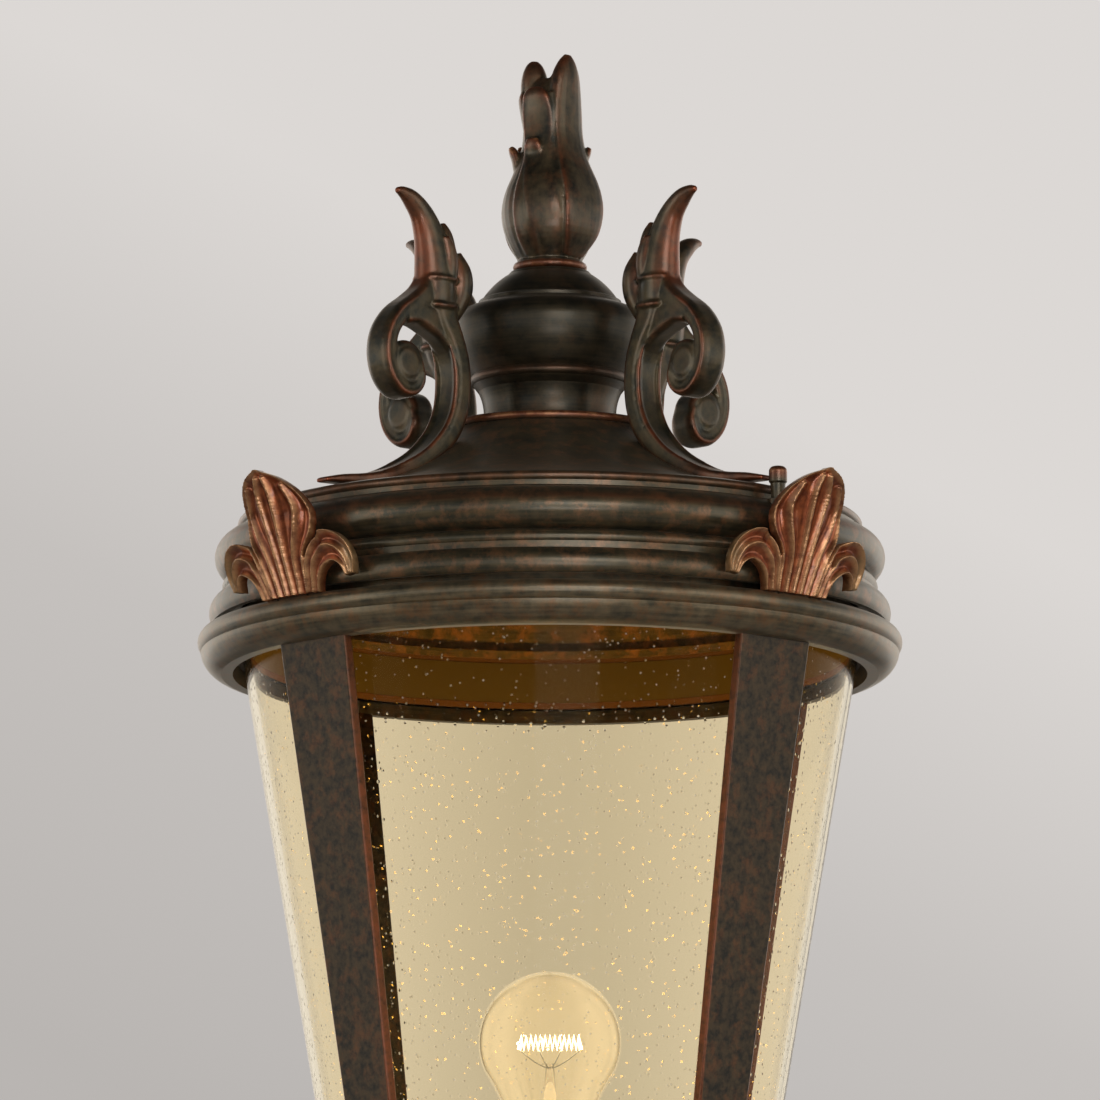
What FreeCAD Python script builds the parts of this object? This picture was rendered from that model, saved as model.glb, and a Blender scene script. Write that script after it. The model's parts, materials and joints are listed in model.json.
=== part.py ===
"""Outdoor lamp post: a round tapered lantern on a plain column (millimetres, +Z up)."""
import FreeCAD, Part
import math
import os

from FreeCAD import Vector

# Clearances
slip_fit = 0.3
thread_fit = 0.15
seat_gap = 0.15
glass_gap = 3.0

# Base
flange_diameter = 264.0
flange_thickness = 12.0
anchor_circle = 216.0
anchor_hole = 14.0
anchor_count = 4
bell_diameter = 176.0
bell_height = 150.0
base_height = 310.0
base_wall = 6.0
base_bead = 7.0
socket_depth = 130.0
socket_floor = 10.0
cable_hole = 56.0

# Column
column_diameter = 76.0
column_wall = 3.5
column_length = 1420.0

# Set screws in the base and in the fitter
set_screw_count = 3
set_screw_diameter = 8.0
set_screw_drop = 40.0

# Post-top fitter
fitter_depth = 80.0
fitter_wall = 6.0
fitter_neck_height = 46.0
fitter_neck_diameter = 60.0
fitter_seat_diameter = 96.0
fitter_web = 8.0
fitter_bead = 4.0

# Bowl under the lantern
bowl_height = 104.0
bowl_wall = 4.0
bowl_rim_diameter = 184.0
bowl_rim_height = 14.0

# Stem pipe and its nuts
pipe_diameter = 20.0
pipe_bore = 13.0
pipe_nut_flats = 30.0
pipe_nut_height = 8.0
pipe_tail = 6.0

# Floor plate and what it carries
plate_diameter = 164.0
plate_thickness = 4.0
ring_screw_circle = 140.0
ring_screw_count = 4
small_screw_diameter = 4.0
terminal_length = 36.0
terminal_depth = 20.0
terminal_height = 18.0
terminal_offset = 45.0

# Cage
cage_height = 300.0
glass_top_radius = 130.7
glass_bottom_radius = 80.8
glass_thickness = 3.5
glass_head_room = 8.0
gasket_thickness = 2.0
lower_ring_height = 14.0
lower_ring_ledge = 4.0
lower_ring_bulge = 6.0
upright_thickness = 4.8
upright_top_width = 40.0
upright_bottom_width = 21.0
upright_count = 4
upright_screw_diameter = 3.0
upright_screw_reach = 8.0
upright_screw_spread = 11.0

# Upper ring
ring_crest_radius = 148.5
ring_lip_radius = 133.7
ring_lip_width = 4.8
ring_drop = 13.0
ring_rise = 4.3
ring_flange_drop = 5.0
ring_throat_radius = 126.5
upstand_height = 12.0
upstand_width = 4.0

# Palmette leaves
leaf_half_width = 36.5
leaf_height = 50.5
leaf_lean = 22.0
leaf_thickness = 4.2
leaf_flute_depth = 1.4
leaf_peg_spread = 18.0
leaf_clearance = 0.8
leaf_peg_diameter = 2.4
leaf_peg_length = 4.0

# Roof, heights above the crest of the upper ring
roof_wall = 3.5
roof_gap = 3.7
roof_skirt_radius = 143.7
roof_notch_radius = 134.0
roof_torus_radius = 141.3
roof_ledge_radius = 131.8
dome_top_radius = 47.0
dome_top_height = 90.2
dome_foot_height = 53.0
dome_bead_height = 2.2

# Crown, heights above its seat on the dome
crown_height = 69.2
crown_neck_radius = 28.0
crown_belly_radius = 41.0
crown_bell_radius = 28.8
crown_wall = 5.0
crown_top_radius = 16.8

# Finial, heights above its seat on the crown
finial_height = 94.1
finial_radius = 21.6
finial_collar_height = 4.0
finial_collar_radius = 15.8
tie_diameter = 8.0
tie_engagement = 26.0
tie_tail = 4.0
tie_nut_flats = 13.0
tie_nut_height = 6.5
tie_washer_diameter = 24.0
tie_washer_thickness = 2.0

# Scroll brackets
scroll_count = 4
scroll_width = 14.0
scroll_rim = 2.2
scroll_channel_depth = 1.2
scroll_eye_diameter = 9.0
scroll_eye_width = 16.0
scroll_collar_depth = 22.0
scroll_collar_width = 18.8
scroll_collar_height = 3.0
scroll_screw_radius = 72.0
scroll_screw_reach = 3.6
scroll_rise = 3.0
screw_boss_diameter = 11.0

# Thumbscrews
thumb_circle_radius = 137.5
thumb_shank = 5.0
thumb_head_diameter = 7.6
thumb_head_height = 7.4
thumb_round = 2.2
thumb_neck_diameter = 6.4
thumb_neck_height = 6.8
thumb_boss_diameter = 10.0
thumb_boss_top = 45.0
thumb_engagement = 10.0
thumb_azimuths = {"thumbscrew_front": 315.0, "thumbscrew_rear": 135.0}

# Lamp
bulb_diameter = 60.0
bulb_length = 107.0
bulb_wall = 0.9
bulb_neck_diameter = 24.6
cap_diameter = 26.4
cap_length = 27.0
holder_diameter = 42.0
holder_height = 48.0
holder_wall = 6.0
holder_stand = 30.0

# Levels worked out from the sizes above
column_seat = base_height - socket_depth
column_top = column_seat + column_length
fitter_top = column_top + fitter_neck_height
floor_level = fitter_top + bowl_height
crest_level = floor_level + cage_height
crown_level = crest_level + dome_top_height
finial_level = crown_level + crown_height
bulb_foot = floor_level + holder_stand + holder_height / 2.0

column_radius = column_diameter / 2.0
pipe_radius = pipe_diameter / 2.0
glass_slope = (glass_top_radius - glass_bottom_radius) / cage_height
upstand_radius = ring_throat_radius + upstand_width
seal_level = upstand_height + gasket_thickness
skirt_bottom = ring_rise + roof_gap
quarter = 360.0 / upright_count
first_azimuth = quarter / 2.0

UP = Vector(0, 0, 1)


def outline(steps):
    """Closed wire in the XZ plane. A step is a point, or (through, end) for an arc."""
    edges = []
    here = Vector(steps[0][0], 0, steps[0][1])
    start = here
    for step in list(steps[1:]) + [steps[0]]:
        if isinstance(step[0], tuple):
            through = Vector(step[0][0], 0, step[0][1])
            there = Vector(step[1][0], 0, step[1][1])
            edges.append(Part.Arc(here, through, there).toShape())
        else:
            there = Vector(step[0], 0, step[1])
            if there.distanceToPoint(here) > 1e-6:
                edges.append(Part.makeLine(here, there))
        here = there
    assert here.distanceToPoint(start) < 1e-6
    return Part.Wire(edges)


def turned(steps, level=0.0):
    """Solid of revolution about Z from an outline, raised to a level."""
    solid = Part.Face(outline(steps)).revolve(Vector(0, 0, 0), UP, 360)
    solid.translate(Vector(0, 0, level))
    return solid


def tube(inner, outer, low, high):
    """Plain ring between two radii and two heights."""
    return turned([(inner, low), (outer, low), (outer, high), (inner, high)])


def spun(shape, azimuth):
    """Copy of a shape turned about the post's axis."""
    copy = shape.copy()
    copy.rotate(Vector(0, 0, 0), UP, azimuth)
    return copy


def pattern(shape, count, phase=0.0):
    """Equal copies of a shape round the post's axis, one list entry each."""
    return [spun(shape, phase + index * 360.0 / count) for index in range(count)]


def peg(diameter, radius, low, high, side=0.0):
    """Upright cylinder at a radius on the X axis, moved sideways along Y."""
    return Part.makeCylinder(diameter / 2.0, high - low, Vector(radius, side, low), UP)


def radial_peg(diameter, inner, outer, level):
    """Cylinder lying along the X axis between two radii."""
    return Part.makeCylinder(diameter / 2.0, outer - inner, Vector(inner, 0, level), Vector(1, 0, 0))


def hex_nut(flats, bore, low, height):
    """Hexagon nut on the axis."""
    corner = flats / math.sqrt(3.0)
    angles = [math.radians(60 * index) for index in range(7)]
    points = [Vector(corner * math.cos(a), corner * math.sin(a), low) for a in angles]
    body = Part.Face(Part.makePolygon(points)).extrude(Vector(0, 0, height))
    return body.cut(Part.makeCylinder(bore / 2.0, height, Vector(0, 0, low), UP))


def flat_screw(diameter, radius, low, high, side=0.0, head_up=True):
    """Countersunk screw parallel to Z with its head flush at one end."""
    shank = peg(diameter, radius, low, high, side)
    depth = diameter / 2.0
    foot = high - depth if head_up else low
    wide = (diameter / 2.0, diameter) if head_up else (diameter, diameter / 2.0)
    return shank.fuse(Part.makeCone(wide[0], wide[1], depth, Vector(radius, side, foot), UP))


def pan_screw(diameter, radius, low, seat, side=0.0):
    """Screw parallel to Z, shank below a seat and a round head above it."""
    head = peg(2.0 * diameter, radius, seat, seat + 0.6 * diameter, side)
    return peg(diameter, radius, low, seat, side).fuse(head)


def spline_edge(points):
    """Smooth curve through points of the XZ plane."""
    curve = Part.BSplineCurve()
    curve.interpolate([Vector(r, 0, z) for r, z in points])
    return curve.toShape()


def band(outer, inner, width):
    """Bar seen from the side between two smooth curves, centred on the XZ plane."""
    first = spline_edge(outer)
    second = spline_edge(inner)
    ends = [
        Part.makeLine(first.valueAt(first.LastParameter), second.valueAt(second.FirstParameter)),
        Part.makeLine(second.valueAt(second.LastParameter), first.valueAt(first.FirstParameter)),
    ]
    face = Part.Face(Part.Wire([first, ends[0], second, ends[1]]))
    face.translate(Vector(0, -width / 2.0, 0))
    return face.extrude(Vector(0, width, 0))


def sideways(path, side):
    """Points beside a path of (radius, height, half thickness) rows, 1 for its left and -1 for its right."""
    points = []
    for index, (radius, height, half) in enumerate(path):
        before = path[max(index - 1, 0)]
        after = path[min(index + 1, len(path) - 1)]
        heading = math.atan2(after[1] - before[1], after[0] - before[0])
        points.append((radius - side * half * math.sin(heading), height + side * half * math.cos(heading)))
    return points


def ribbon(path, width):
    """Bar of a given width along a path of (radius, height, half thickness) rows."""
    return band(sideways(path, 1), sideways(path, -1)[::-1], width)


def oval(centre, across, along, tilt=0.0):
    """Closed oval curve, level or tilted out of level about the Y axis."""
    count = 16
    points = []
    for index in range(count):
        angle = 2.0 * math.pi * index / count
        reach = across * math.cos(angle)
        points.append(centre + Vector(reach * math.cos(tilt), along * math.sin(angle), reach * math.sin(tilt)))
    curve = Part.BSplineCurve()
    curve.interpolate(points, PeriodicFlag=True)
    return Part.Wire(curve.toShape())


def petal(rows, azimuth=0.0, side=0.0):
    """Tapered round bar along rows of (radius, height, half thickness, half width), then turned about Z."""
    sections = []
    for index, (radius, height, thick, wide) in enumerate(rows):
        before = rows[max(index - 1, 0)]
        after = rows[min(index + 1, len(rows) - 1)]
        heading = math.atan2(after[1] - before[1], after[0] - before[0])
        sections.append(oval(Vector(radius, side, height), thick, wide, heading - math.pi / 2.0))
    return spun(Part.makeLoft(sections, True, False), azimuth)


def fused(shapes):
    """One solid from overlapping shapes."""
    return shapes[0].multiFuse(shapes[1:]).removeSplitter()


def set_screws(inner, outer, level):
    """Set screw and its hole, both lying along the X axis."""
    screw = radial_peg(set_screw_diameter, inner, outer, level)
    hole = radial_peg(set_screw_diameter + 2.0 * thread_fit, inner - slip_fit, outer + base_bead, level)
    return pattern(screw, set_screw_count), pattern(hole, set_screw_count)


def glass_radius(height):
    """Outer radius of the glass at a height above the lantern floor."""
    return glass_bottom_radius + glass_slope * height


# Base casting: flange, bell foot and sleeve for the column
def build_base():
    flange = flange_diameter / 2.0
    foot = bell_diameter / 2.0
    shoulder = flange_thickness + 2.0 * base_bead
    bell = foot - base_bead / 2.0
    socket = column_radius + slip_fit
    sleeve = socket + base_wall
    waist = sleeve + 0.28 * (bell - sleeve)
    half = (shoulder + bell_height) / 2.0
    edge = flange_thickness / 4.0
    body = turned([
        (bell - base_wall, 0),
        (flange, 0),
        (flange, flange_thickness - edge),
        (flange - edge, flange_thickness),
        (foot, flange_thickness),
        ((foot + base_bead, flange_thickness + base_bead), (foot, shoulder)),
        (bell, shoulder),
        ((waist, half), (sleeve, bell_height)),
        (sleeve, base_height - 2.0 * base_bead),
        ((sleeve + base_bead, base_height - base_bead), (sleeve, base_height)),
        (socket, base_height),
        (socket, column_seat),
        (cable_hole / 2.0, column_seat),
        (cable_hole / 2.0, column_seat - socket_floor),
        (sleeve - base_wall, column_seat - socket_floor),
        (sleeve - base_wall, bell_height),
        ((waist - base_wall, half), (bell - base_wall, shoulder)),
    ])
    anchors = pattern(peg(anchor_hole, anchor_circle / 2.0, 0, flange_thickness), anchor_count, first_azimuth)
    screws, holes = set_screws(column_radius, sleeve, base_height - set_screw_drop)
    return body.cut(anchors + holes), screws


# Column tube
def build_column():
    return tube(column_radius - column_wall, column_radius, column_seat, column_top)


# Fitter that drops over the column and carries the bowl
def build_fitter():
    inner = column_radius + slip_fit
    outer = inner + fitter_wall
    neck = fitter_neck_diameter / 2.0
    seat = fitter_seat_diameter / 2.0
    hollow = neck - base_wall - fitter_wall / 2.0
    bore = pipe_radius + slip_fit
    top = fitter_neck_height
    body = turned([
        (inner, -fitter_depth),
        (outer, -fitter_depth),
        ((outer + fitter_bead, fitter_bead - fitter_depth), (outer, 2.0 * fitter_bead - fitter_depth)),
        (outer, -fitter_wall),
        ((outer - fitter_wall, 0), (neck + fitter_bead, fitter_wall)),
        (neck, fitter_wall),
        (neck, top / 2.0),
        ((neck + 0.3 * (seat - neck), 0.8 * top), (seat, top - fitter_bead)),
        (seat, top),
        (bore, top),
        (bore, top - fitter_web),
        (hollow, top - fitter_web),
        (hollow, 0),
        (inner, 0),
    ], column_top)
    screws, holes = set_screws(column_radius, outer, column_top - set_screw_drop)
    return body.cut(holes), screws


# Bowl between the fitter and the cage
def build_bowl():
    seat = fitter_seat_diameter / 2.0
    rim = bowl_rim_diameter / 2.0
    plate = plate_diameter / 2.0 + slip_fit
    ledge = plate - bowl_wall
    top = bowl_height
    band_foot = top - bowl_rim_height
    bulge = seat + 0.78 * (rim - seat)
    return turned([
        (pipe_radius + slip_fit, 0),
        (seat, 0),
        ((bulge, 0.36 * top), (rim - bowl_wall, band_foot)),
        (rim, band_foot),
        (rim, top),
        (plate, top),
        (plate, top - plate_thickness),
        (ledge, top - plate_thickness),
        (ledge, band_foot),
        ((bulge - bowl_wall, 0.36 * top + bowl_wall), (seat - bowl_wall, bowl_wall)),
        (pipe_radius + slip_fit, bowl_wall),
    ], fitter_top)


# Pipe that clamps the bowl and holds the lampholder, with its two nuts
def build_pipe(top):
    low = fitter_top - fitter_web - pipe_nut_height - pipe_tail
    pipe = tube(pipe_bore / 2.0, pipe_radius, low, top)
    bore = pipe_diameter + 2.0 * thread_fit
    under = hex_nut(pipe_nut_flats, bore, fitter_top - fitter_web - pipe_nut_height, pipe_nut_height)
    over = hex_nut(pipe_nut_flats, bore, floor_level, pipe_nut_height)
    return pipe, under, over


# Floor plate with the screws of the lower ring, the earth screw and the terminal block
def build_floor():
    low = floor_level - plate_thickness
    plate = tube(pipe_radius + slip_fit, plate_diameter / 2.0, low, floor_level)
    fixing = ring_screw_circle / 2.0
    hole = small_screw_diameter + 2.0 * thread_fit
    seat = floor_level + lower_ring_ledge
    screw = pan_screw(small_screw_diameter, fixing, low, seat)
    screws = pattern(screw, ring_screw_count)
    holes = pattern(peg(hole, fixing, low, seat), ring_screw_count)
    earth_hole = spun(peg(hole, terminal_offset, low, floor_level), 180)
    earth = spun(pan_screw(small_screw_diameter, terminal_offset, low - terminal_height / 2.0, floor_level), 180)
    corner = Vector(terminal_offset - terminal_depth / 2.0, -terminal_length / 2.0, low - terminal_height)
    terminal = Part.makeBox(terminal_depth, terminal_length, terminal_height, corner)
    poles = [peg(small_screw_diameter, terminal_offset, low - terminal_height, low - terminal_height / 2.0, side)
             for side in (-terminal_length / 3.0, 0.0, terminal_length / 3.0)]
    return plate.cut(holes + [earth_hole]), screws, holes, earth, terminal.cut(poles)


# Lower ring: seat of the glass and foot of the uprights
def build_lower_ring(screw_holes, upright_holes):
    rim = bowl_rim_diameter / 2.0
    wall = glass_radius(lower_ring_height) + slip_fit * 4.0
    inner = ring_screw_circle / 2.0 - 1.5 * small_screw_diameter
    height = lower_ring_height
    ring = turned([
        (inner, 0),
        (rim, 0),
        ((rim + lower_ring_bulge, height / 2.0), (rim + slip_fit * 4.0, height)),
        (wall, height),
        (wall, lower_ring_ledge),
        (inner, lower_ring_ledge),
    ], floor_level)
    return ring.cut(screw_holes + upright_holes)


# Tapered glass and the gaskets at both its ends
def build_glass():
    low = lower_ring_ledge + gasket_thickness
    high = cage_height - glass_head_room
    glass = turned([
        (glass_radius(low) - glass_thickness, low),
        (glass_radius(low), low),
        (glass_radius(high), high),
        (glass_radius(high) - glass_thickness, high),
    ], floor_level)
    foot = glass_radius(low)
    lower = tube(foot - 1.4 * glass_thickness, foot + slip_fit, floor_level + lower_ring_ledge, floor_level + low)
    head = glass_radius(high)
    flange = crest_level - ring_flange_drop
    upper = tube(ring_throat_radius - slip_fit, head + glass_thickness / 2.0, floor_level + high, flange)
    return glass, lower, upper


# One tapered upright on the X axis
def build_upright():
    low = lower_ring_height
    high = cage_height - ring_drop
    wires = []
    for height in (low, high):
        inner = glass_radius(height) + glass_gap
        outer = inner + upright_thickness
        share = height / cage_height
        half = (upright_bottom_width + share * (upright_top_width - upright_bottom_width)) / 2.0
        level = floor_level + height
        corners = [(inner, -half), (outer, -half), (outer, half), (inner, half), (inner, -half)]
        wires.append(Part.makePolygon([Vector(x, y, level) for x, y in corners]))
    bar = Part.makeLoft(wires, True, True)
    long_edges = [edge for edge in bar.Edges if edge.BoundBox.ZLength > (high - low) / 2.0]
    return bar.makeFillet(upright_thickness / 5.0, long_edges)


# Screws that hold one upright, and the holes for them
def build_upright_screws():
    middle = glass_gap + upright_thickness / 2.0
    head_height = cage_height - ring_drop - upright_screw_reach / 2.0
    foot_height = lower_ring_height + upright_screw_reach / 2.0
    head_radius = glass_radius(head_height) + middle
    foot_radius = glass_radius(foot_height) + middle
    top = crest_level + ring_rise
    tip = crest_level - ring_drop - upright_screw_reach
    root = floor_level + lower_ring_height + upright_screw_reach
    upper = [flat_screw(upright_screw_diameter, head_radius, tip, top, side)
             for side in (-upright_screw_spread, upright_screw_spread)]
    lower = flat_screw(upright_screw_diameter, foot_radius, floor_level, root, 0.0, False)
    wide = upright_screw_diameter + 2.0 * thread_fit
    upper_holes = [flat_screw(wide, head_radius, tip - thread_fit, top, side)
                   for side in (-upright_screw_spread, upright_screw_spread)]
    lower_hole = flat_screw(wide, foot_radius, floor_level, root + thread_fit, 0.0, False)
    return upper, [lower], upper_holes, [lower_hole]


# Upper ring with its bead, ovolo and upstand
def build_upper_ring(holes):
    crest = ring_crest_radius
    lip = ring_lip_radius
    outer_lip = lip + ring_lip_width
    quirk = 0.27 * ring_drop
    top = crest - 0.5 * ring_rise
    ring = turned([
        (lip, -ring_drop),
        (outer_lip, -ring_drop),
        ((crest - 0.22 * (crest - lip), -0.68 * ring_drop), (crest - 1.3, -quirk - 0.5)),
        (crest - 1.9, -quirk),
        ((crest, 0.5), (top, ring_rise)),
        (upstand_radius, ring_rise),
        (upstand_radius, upstand_height),
        (ring_throat_radius, upstand_height),
        (ring_throat_radius, -ring_flange_drop),
        (lip, -ring_flange_drop),
    ], crest_level)
    return ring.cut(holes)


# Inner radius of a leaf at a height above the upper ring's flat top
def leaf_radius(height):
    return roof_skirt_radius + leaf_clearance + leaf_lean * height / leaf_height


# Leaning ring-shaped layer that gives a leaf its curve round the post
def leaf_layer(inner_offset, outer_offset):
    base = leaf_radius(0)
    tip = leaf_radius(leaf_height)
    return turned([
        (base + inner_offset, 0),
        (base + outer_offset, 0),
        (tip + outer_offset, leaf_height),
        (tip + inner_offset, leaf_height),
    ], crest_level + ring_rise)


# Flat shape in the YZ plane carried outward through the leaf
def leaf_prism(edges):
    near = roof_skirt_radius - leaf_half_width
    deep = leaf_lean + leaf_thickness + 2.0 * leaf_half_width
    face = Part.Face(Part.Wire(edges))
    face.translate(Vector(near, 0, crest_level + ring_rise))
    return face.extrude(Vector(deep, 0, 0))


# Palmette on the X axis: pointed middle lobe, two curled side lobes, flutes and pegs, in shares of its size
def build_leaf():
    half_outline = [
        (0.42, 0.0), (0.50, 0.13), (0.60, 0.20), (0.73, 0.23), (0.84, 0.18), (0.90, 0.08), (0.98, 0.10),
        (1.00, 0.25), (0.93, 0.39), (0.80, 0.47), (0.64, 0.49), (0.50, 0.45),
    ]
    lobe = [(0.50, 0.45), (0.48, 0.64), (0.39, 0.81), (0.20, 0.94), (0.0, 1.0)]
    middle_flute = [(0.0, 0.06, 0.035), (0.0, 0.50, 0.06), (0.0, 0.80, 0.06), (0.0, 0.93, 0.02)]
    side_flutes = [
        [(0.115, 0.06, 0.032), (0.15, 0.30, 0.045), (0.21, 0.56, 0.065), (0.23, 0.74, 0.06), (0.19, 0.88, 0.02)],
        [(0.235, 0.06, 0.032), (0.275, 0.30, 0.04), (0.38, 0.52, 0.05), (0.40, 0.65, 0.04), (0.36, 0.78, 0.015)],
        [(0.345, 0.06, 0.028), (0.42, 0.22, 0.035), (0.53, 0.355, 0.042), (0.66, 0.415, 0.042),
         (0.80, 0.385, 0.042), (0.90, 0.285, 0.033), (0.94, 0.17, 0.015)],
        [(0.435, 0.05, 0.028), (0.49, 0.15, 0.035), (0.58, 0.25, 0.04), (0.70, 0.29, 0.042), (0.81, 0.245, 0.038),
         (0.87, 0.16, 0.015)],
    ]

    def smooth(points, sign):
        curve = Part.BSplineCurve()
        curve.interpolate([Vector(0, sign * u * leaf_half_width, v * leaf_height) for u, v in points])
        return curve.toShape()

    def flute(path, sign):
        edge = smooth(sideways(path, sign) + sideways(path, -sign)[::-1], sign)
        closing = Part.makeLine(edge.valueAt(edge.LastParameter), edge.valueAt(edge.FirstParameter))
        return leaf_prism([edge, closing])

    foot = half_outline[0][0] * leaf_half_width
    edges = [Part.makeLine(Vector(0, -foot, 0), Vector(0, foot, 0))]
    for sign in (-1, 1):
        edges += [smooth(half_outline, sign), smooth(lobe, sign)]
    body = leaf_prism(Part.sortEdges(edges)[0]).common(leaf_layer(0, leaf_thickness))
    flutes = [flute(middle_flute, 1)] + [flute(path, sign) for path in side_flutes for sign in (-1, 1)]
    skin = leaf_layer(leaf_thickness - leaf_flute_depth, 2.0 * leaf_thickness)
    body = body.cut([cutter.common(skin) for cutter in flutes])
    peg_radius = leaf_radius(0) + 0.3 * leaf_thickness
    top = crest_level + ring_rise
    pegs = []
    holes = []
    for side in (-leaf_peg_spread / 2.0, leaf_peg_spread / 2.0):
        pegs.append(peg(leaf_peg_diameter, peg_radius, top - leaf_peg_length, top + leaf_peg_length / 2.0, side))
        wide = leaf_peg_diameter + 2.0 * thread_fit
        holes.append(peg(wide, peg_radius, top - leaf_peg_length - thread_fit, top, side))
    return fused([body] + pegs), holes


# Three points of the dome's hollow curve: its foot, its middle and its top
def dome_points():
    foot = (roof_ledge_radius - 3.8, dome_foot_height)
    middle = (dome_top_radius + 0.259 * (foot[0] - dome_top_radius),
              dome_foot_height + 0.539 * (dome_top_height - dome_foot_height))
    return foot, middle, (dome_top_radius, dome_top_height - 1.5)


# Circle through the dome's three points
def dome_circle():
    return Part.Arc(*[Vector(r, 0, z) for r, z in dome_points()]).toShape().Curve


# The dome's three points moved inward by an offset
def dome_curve(offset=0.0):
    circle = dome_circle()
    centre = circle.Center
    grow = (circle.Radius + offset) / circle.Radius
    return [(centre.x + (r - centre.x) * grow, centre.z + (z - centre.z) * grow) for r, z in dome_points()]


# Height of the dome's outside above the crest at a radius
def dome_height(radius):
    circle = dome_circle()
    return circle.Center.z - math.sqrt(circle.Radius ** 2 - (radius - circle.Center.x) ** 2)


# Height above the crest of the flat seat under a scroll screw
def screw_seat():
    return dome_height(scroll_screw_radius + screw_boss_diameter / 2.0) - roof_wall - 1.0


# Outside of the roof from its skirt to the bead round the flat top of the dome
def roof_outside():
    skirt = roof_skirt_radius
    notch = roof_notch_radius
    ledge = roof_ledge_radius
    foot, middle, top = dome_curve()
    bead = dome_top_radius
    return [
        (skirt - 1.5, skirt_bottom),
        ((skirt, skirt_bottom + 5.0), (skirt - 2.7, skirt_bottom + 10.5)),
        (skirt - 6.2, skirt_bottom + 10.8),
        (skirt - 6.2, skirt_bottom + 13.8),
        ((skirt - 5.6, skirt_bottom + 16.6), (notch + 0.8, skirt_bottom + 19.0)),
        (notch, skirt_bottom + 19.5),
        ((roof_torus_radius, skirt_bottom + 29.5), (notch - 1.5, skirt_bottom + 37.5)),
        (ledge - 1.2, skirt_bottom + 38.5),
        (ledge - 1.2, skirt_bottom + 40.5),
        ((ledge, skirt_bottom + 42.3), (ledge - 1.8, skirt_bottom + 44.4)),
        foot,
        (middle, top),
        (bead - 0.8, dome_top_height - 1.2),
        ((bead + 0.9, dome_top_height + 0.4), (bead - 1.4, dome_top_height + dome_bead_height)),
        (bead - 3.4, dome_top_height + dome_bead_height),
        (bead - 4.2, dome_top_height),
    ]


# Filled roof used to trim what stands on it
def roof_envelope():
    steps = [(0, skirt_bottom)] + roof_outside() + [(0, dome_top_height)]
    return turned(steps, crest_level + seat_gap)


# Roof casting: hollow shell, inner ledge, thumbscrew bosses and screw bosses
def build_roof():
    bore = tie_diameter / 2.0 + slip_fit
    foot, middle, top = dome_curve(roof_wall)
    wall = roof_notch_radius - roof_wall
    ledge = roof_ledge_radius - 1.2 - roof_wall
    inside = [
        (bore, dome_top_height),
        (bore, top[1]),
        top,
        (middle, foot),
        (ledge, foot[1]),
        (ledge, skirt_bottom + 37.0),
        (wall, skirt_bottom + 33.0),
        (wall, seal_level + roof_wall),
        (ring_throat_radius, seal_level + roof_wall),
        (ring_throat_radius, seal_level),
        (roof_skirt_radius - roof_wall - 0.5, seal_level),
        (roof_skirt_radius - roof_wall - 0.5, skirt_bottom),
    ]
    shell = turned(roof_outside() + inside, crest_level)
    boss = peg(thumb_boss_diameter, thumb_circle_radius, crest_level + skirt_bottom, crest_level + thumb_boss_top)
    seat = crest_level + screw_seat()
    lug = peg(screw_boss_diameter, scroll_screw_radius, seat, crest_level + dome_height(scroll_screw_radius))
    lug = lug.common(roof_envelope())
    bosses = [spun(boss, azimuth) for azimuth in thumb_azimuths.values()]
    shell = fused([shell] + bosses + pattern(lug, scroll_count, first_azimuth))
    wide = thumb_shank + 2.0 * slip_fit
    drill = peg(wide, thumb_circle_radius, crest_level, crest_level + dome_top_height)
    narrow = peg(small_screw_diameter + 2.0 * thread_fit, scroll_screw_radius, seat, crest_level + dome_top_height)
    above = crest_level + dome_top_height
    face = peg(thumb_boss_diameter, thumb_circle_radius, crest_level + thumb_boss_top, above)
    drills = [spun(tool, azimuth) for azimuth in thumb_azimuths.values() for tool in (drill, face)]
    return shell.cut(drills + pattern(narrow, scroll_count, first_azimuth))


# Crown: hollow turned vase between the dome and the finial
def build_crown():
    bore = tie_diameter / 2.0 + slip_fit
    neck = crown_neck_radius
    belly = crown_belly_radius
    top = crown_top_radius
    high = crown_height
    inner_neck = neck - crown_wall
    inner_belly = belly - crown_wall
    bell = crown_bell_radius
    return turned([
        (inner_neck, 0),
        (neck + 1.5, 0),
        ((neck, 0.12 * high), (neck + 2.2, 0.254 * high)),
        (neck + 4.5, 0.297 * high),
        ((neck + 6.0, 0.326 * high), (neck + 5.0, 0.354 * high)),
        ((belly - 1.6, 0.503 * high), (belly, 0.637 * high)),
        ((belly - 1.2, 0.713 * high), (belly - 4.5, 0.761 * high)),
        (bell + 1.4, 0.799 * high),
        (bell + 1.4, 0.818 * high),
        (bell, 0.828 * high),
        ((bell - 4.5, 0.909 * high), (top + 1.2, 0.981 * high)),
        (top, high),
        (bore, high),
        (bore, 0.665 * high),
        (inner_belly - 4.0, 0.665 * high),
        (inner_belly, 0.579 * high),
        (inner_neck + 5.0, 0.359 * high),
        (inner_neck, 0.254 * high),
    ], crown_level)


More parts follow.
